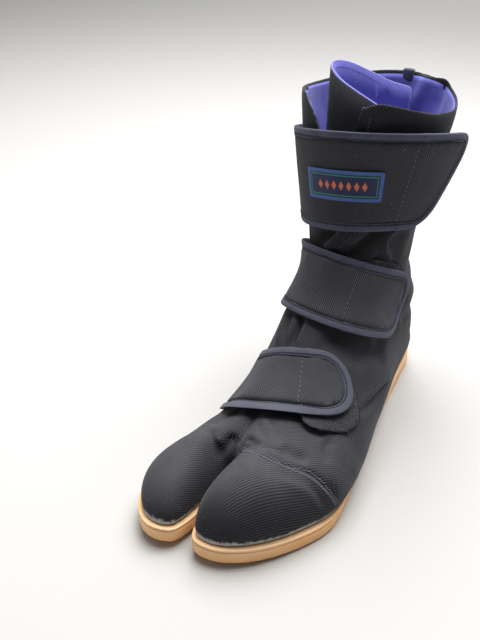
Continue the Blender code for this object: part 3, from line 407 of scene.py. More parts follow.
class SoleLook(bpy.types.PropertyGroup):
    """Colours of the gum sole and the cement on it."""

    gum_colour: colour_setting("Gum", "Colour of the rubber", (0.96, 0.52, 0.205))
    # The gum edge colour is a painted highlight along the sole's top edge
    gum_highlight_colour: colour_setting("Gum edge", "Colour of the thin upper edge", (0.93, 0.62, 0.36))
    cement_colour: colour_setting("Cement", "Colour of the dried cement", (0.46, 0.46, 0.46))


class Wire:
    """A socket that Python expressions add Math nodes to."""

    def __init__(self, bench, socket):
        self.bench = bench
        self.socket = socket

    def math(self, operation, *values):
        """Add one Math node on the given values."""
        return self.bench.node("ShaderNodeMath", {"operation": operation}, dict(enumerate(values)))

    def __add__(self, other):
        return self.math("ADD", self, other)

    def __radd__(self, other):
        return self.math("ADD", other, self)

    def __sub__(self, other):
        return self.math("SUBTRACT", self, other)

    def __rsub__(self, other):
        return self.math("SUBTRACT", other, self)

    def __mul__(self, other):
        return self.math("MULTIPLY", self, other)

    def __rmul__(self, other):
        return self.math("MULTIPLY", other, self)

    def __truediv__(self, other):
        return self.math("DIVIDE", self, other)

    def __gt__(self, other):
        return self.math("GREATER_THAN", self, other)

    def __lt__(self, other):
        return self.math("LESS_THAN", self, other)

    def sin(self):
        """Sine of an angle in radians."""
        return self.math("SINE", self)

    def size(self):
        """The value without its sign."""
        return self.math("ABSOLUTE", self)

    def least(self, other):
        """The smaller of two values."""
        return self.math("MINIMUM", self, other)

    def pingpong(self, other):
        """The value folded back and forth between 0 and the other."""
        return self.math("PINGPONG", self, other)

    def wave(self, pitch):
        """A soft wave from 0 to 1 that repeats at each pitch."""
        return (self * (2.0 * math.pi / pitch)).sin() * 0.5 + 0.5

    def crossed(self, other, pitch):
        """A plain weave of two ways, from 0 to 1."""
        turn = 2.0 * math.pi / pitch
        return (self * turn).sin() * (other * turn).sin() * 0.5 + 0.5

    def between(self, low, high):
        """0 at low, 1 at high, held outside them."""
        return self.bench.node("ShaderNodeMapRange", {"clamp": True}, {0: self, 1: low, 2: high})


class Bench:
    """One material and the nodes on it."""

    def __init__(self, name):
        self.material = bpy.data.materials.new(name)
        self.material.use_nodes = True
        self.tree = self.material.node_tree
        self.tree.nodes.clear()

    def node(self, kind, settings=None, inputs=None, output=0):
        """Add a node: its settings first, then its sockets."""
        node = self.tree.nodes.new(kind)
        for key, value in (settings or {}).items():
            setattr(node, key, value)
        for key, value in (inputs or {}).items():
            if isinstance(value, Wire):
                self.tree.links.new(value.socket, node.inputs[key])
            else:
                node.inputs[key].default_value = value
        return None if output is None else Wire(self, node.outputs[output])

    def place(self):
        """Place on the shoe, in metres."""
        return self.node("ShaderNodeTexCoord", output="Object")

    def uv(self):
        """The two cloth coordinates, in millimetres."""
        both = self.node("ShaderNodeUVMap", {"uv_map": CLOTH_UV})
        return [self.node("ShaderNodeSeparateXYZ", None, {0: both}, axis) for axis in range(2)]

    def axes(self):
        """The three parts of the place."""
        place = self.place()
        return [self.node("ShaderNodeSeparateXYZ", None, {0: place}, axis) for axis in range(3)]

    def attribute(self, name):
        """A value that the mesh carries at its points."""
        return self.node("ShaderNodeAttribute", {"attribute_name": name}, output="Fac")

    def noise(self, scale, detail=2.0, roughness=0.5):
        """Noise with this many cells to the metre."""
        values = {"Vector": self.place(), "Scale": scale, "Detail": detail, "Roughness": roughness}
        return self.node("ShaderNodeTexNoise", None, values)

    def flecks(self, scale, low, high, detail=3.0, roughness=0.75):
        """Sparse specks, where the noise passes from low to high."""
        return self.noise(scale, detail, roughness).between(low, high)

    def dust_and_painted_top_light(self):
        """Dust and painted top light on what faces up, in soft patches."""
        return self.attribute("dust_and_top_light") * (self.noise(60.0, 3.0, 0.6) * 0.6 + 0.2)

    def blend(self, share, low, high):
        """Mix two colours, each an RGB triple or a wire."""
        colours = [value if isinstance(value, Wire) else (*value, 1.0) for value in (low, high)]
        settings = {"data_type": "RGBA", "clamp_factor": True}
        return self.node("ShaderNodeMix", settings, {0: share, 6: colours[0], 7: colours[1]}, 2)

    def bump(self, height, depth, strength=1.0, under=None):
        """Relief of a height, over the relief under it."""
        values = {"Height": height, "Distance": depth, "Strength": strength}
        if under is not None:
            values["Normal"] = under
        return self.node("ShaderNodeBump", None, values, "Normal")

    def finish(self, colour, roughness, normal, **constants):
        """Close the material with a Principled shader and return it."""
        values = {"Base Color": colour, "Roughness": roughness, "Normal": normal}
        for key, value in constants.items():
            values[key.replace("_", " ")] = value
        shader = self.node("ShaderNodeBsdfPrincipled", None, values)
        self.node("ShaderNodeOutputMaterial", None, {"Surface": shader}, None)
        return self.material


def tones(colour, dark, light):
    """A colour's dark and light tones."""
    return [tuple(min(1.0, value * share) for value in colour) for share in (dark, light)]


def twill_material(name, look, shade=1.0, cement=None):
    """Black cotton twill: slanting ribs with painted highlight and shade, yarn fuzz, a little dust with
    painted top light, and a factor of painted light and shade.
    """
    bench = Bench(name)
    across, along = bench.uv()
    pitch = look.rib_pitch / MM
    slip = across + bench.noise(90.0, 2.0) * 0.5
    rib = slip.wave(pitch)
    yarn = (along + slip * (YARN_SHARE * 0.5)).wave(pitch * YARN_SHARE)
    fuzz = bench.noise(2600.0, 2.0, 0.7)
    worn = bench.noise(34.0, 3.0, 0.6)
    weave = (rib * 0.80 + yarn * 0.14 + fuzz * 0.34 - 0.10) * (worn * 0.7 + 0.60)
    # The shade factor is painted light and shade: lit and shaded copies of one twill
    groove = tuple(value * shade for value in look.twill_dark)
    ridge = tuple(value * shade for value in look.twill_light)
    # Ribs and grooves: the yarn's worn tone plus painted highlight on the ribs and painted shade between
    # them
    colour = bench.blend(weave, groove, ridge)
    # Dust with painted top light on what faces up
    colour = bench.blend(bench.dust_and_painted_top_light() * (0.35 + rib * 0.65), colour, TWILL_DUST_AND_TOP_LIGHT)
    colour = bench.blend(bench.flecks(950.0, 0.64, 0.78) * 0.30, colour, TWILL_FLECK)
    roughness = 0.96 - rib * 0.10
    normal = bench.bump(rib * 0.75 + yarn * 0.20 + fuzz * 0.45, 0.16 * MM, 0.75)
    if cement is not None:
        near = bench.attribute("cement")
        smear = (near * 1.5 + bench.noise(240.0, 4.0, 0.7) * 1.4 - 1.42).between(0.0, 0.35)
        colour = bench.blend(smear * 0.9, colour, cement)
        roughness = roughness - smear * 0.35
        normal = bench.bump(smear * (bench.noise(700.0) * 0.6 + 0.4), 0.5 * MM, 0.9, normal)
    return bench.finish(colour, roughness, normal, Sheen_Weight=0.12, Sheen_Roughness=0.45,
                        Sheen_Tint=COOL_SHEEN, Specular_IOR_Level=0.12)


def tape_material(look):
    """Navy bias tape: fine plain weave on the slant, softly mottled."""
    bench = Bench("navy_tape")
    across, along = bench.uv()
    weave = (across + along).crossed(across - along, TAPE_WEAVE)
    fuzz = bench.noise(2200.0, 2.0, 0.7)
    mottle = bench.noise(120.0, 3.0, 0.6)
    puckers = bench.noise(330.0, 2.0, 0.6)
    patches = weave * 0.35 + fuzz * 0.35 + mottle * 0.6 - 0.15
    colour = bench.blend(patches, *tones(look.tape_colour, 0.42, 1.55))
    # Dust with painted top light on what faces up
    colour = bench.blend(bench.dust_and_painted_top_light(), colour, TAPE_DUST_AND_TOP_LIGHT)
    colour = bench.blend(bench.flecks(900.0, 0.68, 0.80) * 0.25, colour, TAPE_FLECK)
    # Painted shade: a dark line in the dip along the stitch row
    off_row = (bench.attribute("from_rim") - TAPE_STITCH_INSET).size()
    groove = off_row.between(0.15, 0.65)
    colour = bench.blend(groove, tuple(value * 0.20 for value in look.tape_colour), colour)
    normal = bench.bump(weave * 0.5 + fuzz * 0.6, 0.12 * MM, 0.7)
    normal = bench.bump(mottle + puckers * 0.7 + groove, 0.6 * MM, 0.8, normal)
    return bench.finish(colour, 0.93 - weave * 0.08, normal, Sheen_Weight=0.15, Sheen_Roughness=0.45,
                        Sheen_Tint=BLUE_SHEEN, Specular_IOR_Level=0.15)


def lining_material(name, base):
    """Plain cotton lining: fine weave and soft puckers."""
    bench = Bench(name)
    x, y, z = bench.axes()
    weave = (x + y).crossed(z, LINING_WEAVE * MM)
    puckers = bench.noise(70.0, 2.0, 0.5)
    fuzz = bench.noise(1800.0, 2.0, 0.6)
    colour = bench.blend(weave * 0.4 + puckers * 0.5 + fuzz * 0.2, *tones(base, 0.72, 1.25))
    normal = bench.bump(weave * 0.4 + fuzz * 0.4, 0.08 * MM, 0.6)
    normal = bench.bump(puckers, 1.6 * MM, 0.6, normal)
    return bench.finish(colour, 0.9 - weave * 0.05, normal, Sheen_Weight=0.2, Sheen_Roughness=0.5,
                        Specular_IOR_Level=0.25)


def thread_material(name, base, shade=1.0):
    """Twisted sewing thread."""
    bench = Bench(name)
    x, y, z = bench.axes()
    twist = (x + y * 0.6 + z * 0.8).wave(THREAD_TWIST * MM)
    colour = bench.blend(twist * 0.6 + bench.noise(500.0) * 0.5, *tones(base, 0.5 * shade, 1.5 * shade))
    normal = bench.bump(twist, 0.08 * MM, 0.6)
    return bench.finish(colour, 0.75 - twist * 0.1, normal, Sheen_Weight=0.2, Specular_IOR_Level=0.3)


def pile_material(look):
    """Fuzzy loop fastener: short dark curls with lint caught in them."""
    bench = Bench("loop_pile")
    curls = bench.node("ShaderNodeTexVoronoi", None, {"Vector": bench.place(), "Scale": 1300.0})
    fuzz = bench.noise(900.0, 4.0, 0.8)
    colour = bench.blend(curls * 0.6 + fuzz * 0.5 - 0.1, *tones(look.pile_colour, 0.4, 2.8))
    colour = bench.blend(bench.flecks(620.0, 0.66, 0.76, 4.0, 0.8) * 0.5, colour, PILE_FLECK)
    normal = bench.bump(curls + fuzz, 0.55 * MM, 1.0)
    return bench.finish(colour, 0.98 - fuzz * 0.05, normal, Sheen_Weight=0.25, Sheen_Roughness=0.6,
                        Specular_IOR_Level=0.1)


def gum_material(look):
    """Amber gum rubber with a painted highlight along its top edge, scuffs and mottling."""
    bench = Bench("gum_rubber")
    _, _, z = bench.axes()
    mottle = bench.noise(46.0, 4.0, 0.6)
    grain = bench.noise(420.0, 3.0, 0.6)
    scuffs = bench.flecks(210.0, 0.62, 0.74, 5.0, 0.8)
    colour = bench.blend(mottle, *tones(look.gum_colour, 0.88, 1.06))
    # Painted highlight along the top edge of the sole
    colour = bench.blend(bench.attribute("painted_top_highlight") * (0.45 + grain * 0.45), colour, look.gum_highlight_colour)
    low_down = 1.0 - (z / (GRIME_HEIGHT * MM)).between(0.0, 1.0)
    colour = bench.blend(low_down * bench.flecks(150.0, 0.40, 0.72, 3.0, 0.7) * 0.35, colour, SOLE_GRIME)
    colour = bench.blend(scuffs * 0.13, colour, SOLE_SCUFF)
    normal = bench.bump(grain, 0.12 * MM, 0.5)
    normal = bench.bump(mottle, 0.5 * MM, 0.4, normal)
    roughness = 0.34 + grain * 0.14 + scuffs * 0.15
    return bench.finish(colour, roughness, normal, Specular_IOR_Level=0.45)


def label_material():
    """Generic woven patch: blue edge, thin green frame, row of diamonds."""
    bench = Bench("woven_label")
    along, across = bench.uv()
    inward = (LABEL_HALF[0] - along.size()).least(LABEL_HALF[1] - across.size())
    grain = bench.noise(1500.0, 2.0, 0.7)
    rough_edge = inward + grain * 0.5 - 0.25
    weft = across.wave(LABEL_WEFT)
    warp = along.wave(LABEL_WARP)
    turn = along.pingpong(DIAMOND_PITCH / 2.0)
    diamond = (turn / DIAMOND_HALF[0] + across.size() / DIAMOND_HALF[1]) + grain * 0.25 < 1.12
    inside = along.size() < DIAMOND_ROW_END
    line = (rough_edge > LABEL_LINE[0]) * (rough_edge < LABEL_LINE[1])
    colour = bench.blend(weft * 0.6 + grain * 0.4, *LABEL_FIELD)
    colour = bench.blend(diamond * inside, colour, bench.blend(weft * 0.5 + grain * 0.5, *LABEL_ORANGE))
    colour = bench.blend(line, colour, bench.blend(grain, *LABEL_GREEN))
    blue = bench.blend(warp * 0.6 + grain * 0.7 - 0.1, *LABEL_BLUE)
    colour = bench.blend(rough_edge < LABEL_BORDER, colour, blue)
    height = weft * 0.4 + warp * 0.3 + grain * 0.5 + (inward < LABEL_BORDER) * 1.2
    normal = bench.bump(height, 0.18 * MM, 0.8)
    return bench.finish(colour, 0.85 - weft * 0.1, normal, Sheen_Weight=0.2, Specular_IOR_Level=0.3)


def lint_material():
    """Pale fibres and specks that cling to the cloth."""
    bench = Bench("lint")
    colour = bench.blend(bench.noise(400.0), *LINT_TONES)
    normal = bench.bump(bench.noise(2000.0), 0.05 * MM)
    return bench.finish(colour, 0.9, normal, Sheen_Weight=0.2)


def floor_material(look):
    """Pale smooth studio paper."""
    bench = Bench("studio_floor")
    colour = bench.blend(bench.noise(3.0, 2.0), *tones(look.floor_colour, 0.985, 1.0))
    normal = bench.bump(bench.noise(120.0), 0.02 * MM, 0.2)
    return bench.finish(colour, 0.7, normal, Specular_IOR_Level=0.15)


def in_metres(points):
    """Places in millimetres as vectors in metres."""
    return [Vector(point) * MM for point in points]


def only(piece):
    """Leave just this piece selected and active."""
    bpy.ops.object.select_all(action="DESELECT")
    piece.select_set(True)
    bpy.context.view_layer.objects.active = piece


def shade_by_angle(degrees):
    """Shade the active piece smooth, but for edges sharper than this."""
    bpy.ops.object.shade_smooth_by_angle(angle=math.radians(degrees))


def apply_modifier(piece, name, kind, **settings):
    """Add a modifier with its settings and apply it."""
    only(piece)
    modifier = piece.modifiers.new(name, kind)
    for key, value in settings.items():
        setattr(modifier, key, value)
    bpy.ops.object.modifier_apply(modifier=modifier.name)


def mesh_of(name, verts, polygons):
    """A mesh of these points and faces."""
    mesh = bpy.data.meshes.new(name)
    mesh.from_pydata(verts, [], polygons)
    return mesh


def new_piece(name, mesh, material):
    """Link a mesh as a piece that rides on the shoe."""
    piece = bpy.data.objects.new(name, mesh)
    bpy.context.scene.collection.objects.link(piece)
    mesh.materials.clear()
    mesh.materials.append(material)
    mesh.shade_smooth()
    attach(piece, "root")
    return piece


def copy_node(node, name, material, levels=0, hold=180.0):
    """Copy a CAD node: merged, quads again, and smoothed."""
    piece = new_piece(name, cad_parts[node].data.copy(), material)
    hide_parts(node)
    only(piece)
    if piece.data.has_custom_normals:
        bpy.ops.mesh.customdata_custom_splitnormals_clear()
    bpy.ops.object.mode_set(mode="EDIT")
    bpy.ops.mesh.select_all(action="SELECT")
    bpy.ops.mesh.remove_doubles(threshold=MERGE_GAP * MM)
    flat, square = (math.radians(angle) for angle in QUAD_ANGLES)
    bpy.ops.mesh.tris_convert_to_quads(face_threshold=flat, shape_threshold=square)
    bpy.ops.object.mode_set(mode="OBJECT")
    if levels:
        refine(piece, levels, hold)
    return piece


def hold_edges(piece, angle):
    """Crease the edges sharper than an angle, so that smoothing keeps them."""
    bm = bmesh.new()
    bm.from_mesh(piece.data)
    crease = bm.edges.layers.float.new("crease_edge")
    for edge in bm.edges:
        if len(edge.link_faces) == 2 and edge.calc_face_angle() > angle:
            edge[crease] = 1.0
    bm.to_mesh(piece.data)
    bm.free()


def refine(piece, levels, hold=180.0):
    """Round a piece off with subdivision, applied, keeping sharper edges."""
    hold_edges(piece, math.radians(hold))
    apply_modifier(piece, "smooth", "SUBSURF", levels=levels, render_levels=levels)
    piece.data.shade_smooth()


def read_points(piece):
    """Vertex places and normals of a piece."""
    mesh = piece.data
    points = np.empty(len(mesh.vertices) * 3)
    mesh.vertices.foreach_get("co", points)
    normals = np.empty(len(mesh.vertices) * 3)
    mesh.vertex_normals.foreach_get("vector", normals)
    return points.reshape(-1, 3), normals.reshape(-1, 3)


def write_points(piece, points):
    """Move a piece's points to these places."""
    piece.data.vertices.foreach_set("co", points.ravel())
    piece.data.update()


def write_attribute(piece, name, values):
    """Store one value at each point, for the material to read."""
    attribute = piece.data.attributes.new(name, "FLOAT", "POINT")
    attribute.data.foreach_set("value", np.asarray(values, dtype=np.float32))


def write_dust_and_top_light(piece):
    """Note how much each point faces up, for the dust and the painted top light there."""
    points, normals = read_points(piece)
    start, run, extra = TOE_DUST_AND_TOP_LIGHT
    toes = np.clip((start - points[:, 1] / MM) / run, 0.0, 1.0)
    write_attribute(piece, "dust_and_top_light", np.clip(normals[:, 2], 0.0, 1.0) ** DUST_AND_TOP_LIGHT_POWER * (1.0 + extra * toes))


def write_uv(piece, chart):
    """Give each face corner the cloth coordinates that chart works out."""
    mesh = piece.data
    points, _ = read_points(piece)
    corners = np.empty(len(mesh.loops), dtype=np.int32)
    mesh.loops.foreach_get("vertex_index", corners)
    counts = np.empty(len(mesh.polygons), dtype=np.int32)
    mesh.polygons.foreach_get("loop_total", counts)
    centres = np.empty(len(mesh.polygons) * 3)
    mesh.polygons.foreach_get("center", centres)
    middle = np.repeat(centres.reshape(-1, 3), counts, axis=0)
    cloth = chart(points[corners] / MM, middle / MM)
    layer = mesh.uv_layers.new(name=CLOTH_UV)
    layer.uv.foreach_set("vector", cloth.astype(np.float32).ravel())


def smooth_line(points, step, closed=False):
    """Even points along a smooth curve through the given ones."""
    points = [Vector(point) for point in points]
    count = len(points)
    dense = []
    for index in range(count if closed else count - 1):
        picks = [index - 1, index, index + 1, index + 2]
        if closed:
            a, b, c, d = (points[pick % count] for pick in picks)
        else:
            a, b, c, d = (points[min(max(pick, 0), count - 1)] for pick in picks)
        for part in range(CURVE_PARTS):
            t = part / CURVE_PARTS
            dense.append((b * 2.0 + (c - a) * t + (a * 2.0 - b * 5.0 + c * 4.0 - d) * t * t
                          + (b * 3.0 - a - c * 3.0 + d) * t * t * t) / 2.0)
    dense.append(points[0].copy() if closed else points[-1].copy())
    lengths = [0.0]
    for near, far in zip(dense, dense[1:]):
        lengths.append(lengths[-1] + (far - near).length)
    parts = max(2, round(lengths[-1] / step))
    marks = np.linspace(0.0, lengths[-1], parts + 1)
    line = np.array([tuple(point) for point in dense])
    return np.stack([np.interp(marks, lengths, line[:, axis]) for axis in range(3)], 1)


def nearest_on_line(points, line):
    """Distance, share along the line, and way from it, of each point."""
    best = np.full(len(points), 1.0e9)
    share = np.zeros(len(points))
    away = np.zeros((len(points), 3))
    for index in range(len(line) - 1):
        start = line[index]
        way = line[index + 1] - start
        place = np.clip((points - start) @ way / (way @ way), 0.0, 1.0)
        gap = points - start - place[:, None] * way
        distance = np.einsum("ij,ij->i", gap, gap)
        nearer = distance < best
        best[nearer] = distance[nearer]
        share[nearer] = (index + place[nearer]) / (len(line) - 1)
        away[nearer] = gap[nearer]
    return np.sqrt(best), share, away


def ease(share):
    """A share from 0 to 1 that starts and ends softly."""
    share = np.clip(share, 0.0, 1.0)
    return share * share * (3.0 - 2.0 * share)


def fold_lift(fold, points):
    """How far a fold lifts each point along its outward normal."""
    reach = fold.reach * MM
    far = 3.0 * reach + 4.0 * MM
    line = smooth_line(in_metres(fold.points), FOLD_STEP * MM)
    near = np.flatnonzero(np.all((points > line.min(0) - far) & (points < line.max(0) + far), axis=1))
    lift = np.zeros(len(points))
    gap, share, away = nearest_on_line(points[near], line)
    ends = ease(np.minimum(share, 1.0 - share) / FOLD_END)
    if fold.side is None:
        shape = np.exp(-(gap / reach) ** 2)
    else:
        side = away @ np.array(Vector(fold.side).normalized())
        step = 1.0 / (1.0 + np.exp(-np.clip(side / (STEP_EDGE * MM), -30.0, 30.0)))
        fade = np.exp(-(gap / (STEP_REACH * reach)) ** 2)
        shape = step * np.exp(-np.clip(side, 0.0, None) / reach) * fade
    lift[near] = fold.height * MM * ends * shape
    return lift


def faces_hollow(points, normals):
    """True where a point's normal looks to the hollow inside the shoe."""
    hollow = np.array(HOLLOW_LINE) * MM
    best = np.full(len(points), 1.0e9)
    inner = np.zeros(len(points), dtype=bool)
    for spot in hollow:
        way = spot - points
        distance = np.einsum("ij,ij->i", way, way)
        nearer = distance < best
        best[nearer] = distance[nearer]
        inner[nearer] = np.einsum("ij,ij->i", way, normals)[nearer] > 0.0
    return inner


def press_folds(piece):
    """Raise and sink the wall of the upper along its folds."""
    points, normals = read_points(piece)
    inner = faces_hollow(points, normals)
    outward = np.where(inner[:, None], -normals, normals)
    lift = sum(fold_lift(fold, points) for fold in FOLDS) * FOLD_SCALE
    points = points + outward * lift[:, None]
    points[:, 2] += square_corner(points / MM) * MM
    write_points(piece, points)
    return inner


def square_corner(points):
    """Height that fills the throat's round shoulder up to a square corner."""
    x, y, z = points.T
    across = (x - THROAT_MIDDLE_X) / THROAT_HALF
    depth = np.clip((z - THROAT_FOOT_Z) / (COLLAR_Z - THROAT_FOOT_Z), 0.0, 1.0) ** CORNER_POWER
    outside = np.clip((x - COLLAR_CORNER_X + CORNER_EDGE[0]) / CORNER_EDGE[1], 0.0, 1.0)
    return np.where(y < CORNER_FRONT_Y, THROAT_DEPTH * np.exp(-across ** 4) * depth * outside, 0.0)


def surface_of(piece):
    """Search tree of a piece's surface."""
    mesh = piece.data
    return BVHTree.FromPolygons([vert.co.copy() for vert in mesh.vertices],
                                [tuple(face.vertices) for face in mesh.polygons])


def stitch_shape():
    """One stitch, along x: a small thread loop that dips at both ends."""
    bpy.ops.object.select_all(action="DESELECT")
    bpy.ops.mesh.primitive_uv_sphere_add(
        segments=6, ring_count=5, radius=1.0, rotation=(0.0, math.pi / 2.0, 0.0))
    ball = bpy.context.object
    bpy.ops.object.transform_apply(location=False, rotation=True, scale=False)
    shape = [vert.co.copy() for vert in ball.data.vertices]
    faces = [tuple(face.vertices) for face in ball.data.polygons]
    mesh = ball.data
    bpy.data.objects.remove(ball)
    bpy.data.meshes.remove(mesh)
    return shape, faces


def sew(name, rows, surface, material, stitch):
    """Lay stitches along rows of places, each on the given surface."""
    shape, faces = stitch_shape()
    half = stitch.length * MM / 2.0
    radius = stitch.radius * MM
    verts = []
    polygons = []
    for row in rows:
        for index in range(len(row) - 1):
            middle = Vector((row[index] + row[index + 1]) / 2.0)
            spot, normal, _, _ = surface.find_nearest(middle)
            along = Vector(row[index + 1] - row[index])
            along = (along - normal * along.dot(normal)).normalized()
            side = normal.cross(along)
            along = (along + side * stitch.slant).normalized()
            side = normal.cross(along)
            first = len(verts)
            for corner in shape:
                height = stitch.lift * MM + radius * corner.z - STITCH_BOW * radius * corner.x * corner.x
                verts.append(spot + along * (corner.x * half) + side * (corner.y * radius) + normal * height)
            polygons.extend(tuple(first + corner for corner in face) for face in faces)
    return new_piece(name, mesh_of(name, verts, polygons), material)


def drop_faces(piece, keep):
    """Delete the faces whose number isn't kept, and their loose points."""
    bm = bmesh.new()
    bm.from_mesh(piece.data)
    bm.faces.ensure_lookup_table()
    gone = [face for face in bm.faces if not keep[face.index]]
    bmesh.ops.delete(bm, geom=gone, context="FACES")
    bm.to_mesh(piece.data)
    bm.free()


def thin_sheet(piece, thickness):
    """Give an open sheet a thickness on its outer side."""
    apply_modifier(piece, "wall", "SOLIDIFY", thickness=thickness, offset=1.0)


def ring_round(place, side, rise, radius, sides):
    """Even points on a circle round a place."""
    turns = [2.0 * math.pi * number / sides for number in range(sides)]
    return [place + side * (radius * math.cos(turn)) + rise * (radius * math.sin(turn)) for turn in turns]


def skin_rings(first, count, sides):
    """Faces from ring to ring, and over both ends."""
    last = first + (count - 1) * sides
    faces = []
    for low in range(first, last, sides):
        for number in range(sides):
            after = (number + 1) % sides
            faces.append((low + number, low + after, low + sides + after, low + sides + number))
    return faces + [tuple(reversed(range(first, first + sides))), tuple(range(last, last + sides))]


def tube_along(name, line, radius, material, sides=8):
    """Round cord of cloth along a line, with closed ends."""
    verts = []
    for index, point in enumerate(line):
        before = Vector(line[max(index - 1, 0)])
        after = Vector(line[min(index + 1, len(line) - 1)])
        along = (after - before).normalized()
        side = along.cross(Vector((0.0, 0.0, 1.0))).normalized()
        size = radius * (0.25 if index in (0, len(line) - 1) else 1.0)
        verts.extend(ring_round(Vector(point), side, side.cross(along), size, sides))
    piece = new_piece(name, mesh_of(name, verts, skin_rings(0, len(line), sides)), material)
    only(piece)
    bpy.ops.object.mode_set(mode="EDIT")
    bpy.ops.mesh.select_all(action="SELECT")
    bpy.ops.mesh.normals_make_consistent(inside=False)
    bpy.ops.object.mode_set(mode="OBJECT")
    return piece


def turn_near(own, middle):
    """An angle, moved by whole turns to lie near the middle's."""
    return middle + (own - middle + math.pi) % (2.0 * math.pi) - math.pi


def upper_chart(points, middle):
    """Cloth coordinates of the upper, panel by panel, across and along its ribs."""
    x, y, z = points.T
    mx, my, mz = middle.T
    low_z = TOE_TOP_Z - TOE_BEND * np.log1p(np.exp((TOE_TOP_Z - z) / TOE_BEND))
    toe = np.stack([x * -0.80 + y * 0.60 + low_z * 0.60, x * 0.60 + y * 0.80], 1)
    inner_vamp = np.stack([x * -0.94 + y * 0.33, x * 0.33 + y * 0.94], 1)
    quarter = np.stack([y * -0.62 + z * 0.78, y * 0.78 + z * 0.62], 1)
    turn = np.arctan2(mx, -(my - SHAFT_MIDDLE_Y))
    round_way = turn_near(np.arctan2(x, -(y - SHAFT_MIDDLE_Y)), turn) * SHAFT_RADIUS
    shaft = np.stack([round_way * 0.66 + z * 0.75, round_way * 0.75 - z * 0.66], 1)
    lower, strap_middle = (StrapMap(strap) for strap in STRAPS[:2])
    angle, off, _ = lower.flat(points * MM)
    wound = np.radians(angle) * SHAFT_RADIUS
    instep = np.stack([wound * -0.62 + off / MM * 0.78, wound * 0.78 + off / MM * 0.62], 1)
    uv = toe.copy()
    on_instep = lower.flat(middle * MM)[1] > 0.0
    uv[on_instep] = instep[on_instep]
    on_shaft = strap_middle.flat(middle * MM)[1] > 0.0
    uv[on_shaft] = shaft[on_shaft]
    on_inner_vamp = (~on_instep) & (mx < INNER_VAMP_X) & (my > INNER_VAMP_END_Y)
    uv[on_inner_vamp] = inner_vamp[on_inner_vamp]
    low = mz < np.clip(QUARTER_TOP_Z - (my - QUARTER_FRONT_Y) * 0.2, QUARTER_LOW_Z, QUARTER_TOP_Z)
    on_quarter = low & (mx > 20.0) & (my > QUARTER_FRONT_Y - 2.0 - (QUARTER_TOP_Z - mz) * 2.1)
    on_quarter |= low & (my > -20.0)
    on_quarter |= (mz < 34.0) & (mx < -20.0) & (my > -150.0 - (36.0 - mz) * 1.4)
    uv[on_quarter] = quarter[on_quarter]
    return uv


class StrapMap:
    """Flat coordinates of a strap: degrees round its axis, and across."""

    def __init__(self, strap):
        self.anchor = np.array(strap.anchor) * MM
        axis = Vector(strap.axis).normalized()
        front = Vector((0.0, -1.0, 0.0))
        front = (front - axis * front.dot(axis)).normalized()
        outer = axis.cross(front)
        if outer.x < 0.0:
            outer.negate()
        self.axis, self.front, self.outer = (np.array(way) for way in (axis, front, outer))

    def flat(self, points):
        """Angle in degrees, distance across and from the axis, of points."""
        way = points - self.anchor
        front = way @ self.front
        outer = way @ self.outer
        return np.degrees(np.arctan2(outer, front)), way @ self.axis, np.hypot(front, outer)

    def direction(self, angle):
        """Way out from the axis at an angle in degrees."""
        turn = math.radians(angle)
        return self.front * math.cos(turn) + self.outer * math.sin(turn)

    def outermost(self, surface, angle, across):
        """Outermost point of a surface along a ray from the axis."""
        start = Vector(self.anchor + self.axis * across)
        way = Vector(self.direction(angle))
        spot, _, _, _ = surface.ray_cast(start + way * RAY_START, -way)
        return spot

    def measure(self, piece):
        """Length along the strap for each angle, from its own points."""
        points, _ = read_points(piece)
        angle, _, _ = self.flat(points)
        surface = surface_of(piece)
        marks = np.arange(angle.min() + 2.0, angle.max() - 2.0, MEASURE_STEP)
        spots = [self.outermost(surface, mark, 0.0) for mark in marks]
        kept = [(mark, spot) for mark, spot in zip(marks, spots) if spot is not None]
        lengths = [0.0]
        for (_, near), (_, far) in zip(kept, kept[1:]):
            lengths.append(lengths[-1] + (far - near).length / MM)
        self.angles = [mark for mark, _ in kept]
        self.lengths = lengths

    def along(self, angle):
        """Millimetres along the strap at an angle."""
        return np.interp(angle, self.angles, self.lengths)

    def chart(self, slant):
        """Chart for write_uv: across the ribs and along them."""
        cosine = math.cos(math.radians(slant))
        sine = math.sin(math.radians(slant))

        def coordinates(points, middle):
            angle, across, _ = self.flat(points * MM)
            along = self.along(angle)
            across = across / MM
            return np.stack([along * sine + across * cosine, along * cosine - across * sine], 1)

        return coordinates


def top_rim(piece, strap_map):
    """Ordered places of the upper edge of a strap's panel."""
    bm = bmesh.new()
    bm.from_mesh(piece.data)
    least = math.radians(RIM_ANGLE)
    sharp = [edge for edge in bm.edges if len(edge.link_faces) == 2 and edge.calc_face_angle() > least]
    links = {}
    for edge in sharp:
        a, b = edge.verts
        links.setdefault(a.index, []).append(b.index)
        links.setdefault(b.index, []).append(a.index)
    places = {vert.index: np.array(vert.co) for vert in bm.verts}
    bm.free()
    loops = []
    unseen = set(links)
    while unseen:
        first = min(unseen)
        loop = [first]
        unseen.discard(first)
        while True:
            onward = [index for index in links[loop[-1]] if index in unseen]
            if not onward:
                break
            loop.append(onward[0])
            unseen.discard(onward[0])
        if len(loop) > RIM_LEAST:
            loops.append(np.array([places[index] for index in loop]))
    if len(loops) < 2:
        raise RuntimeError(f"{piece.name} has {len(loops)} rims")
    return max(loops, key=lambda loop: strap_map.flat(loop)[2].mean())


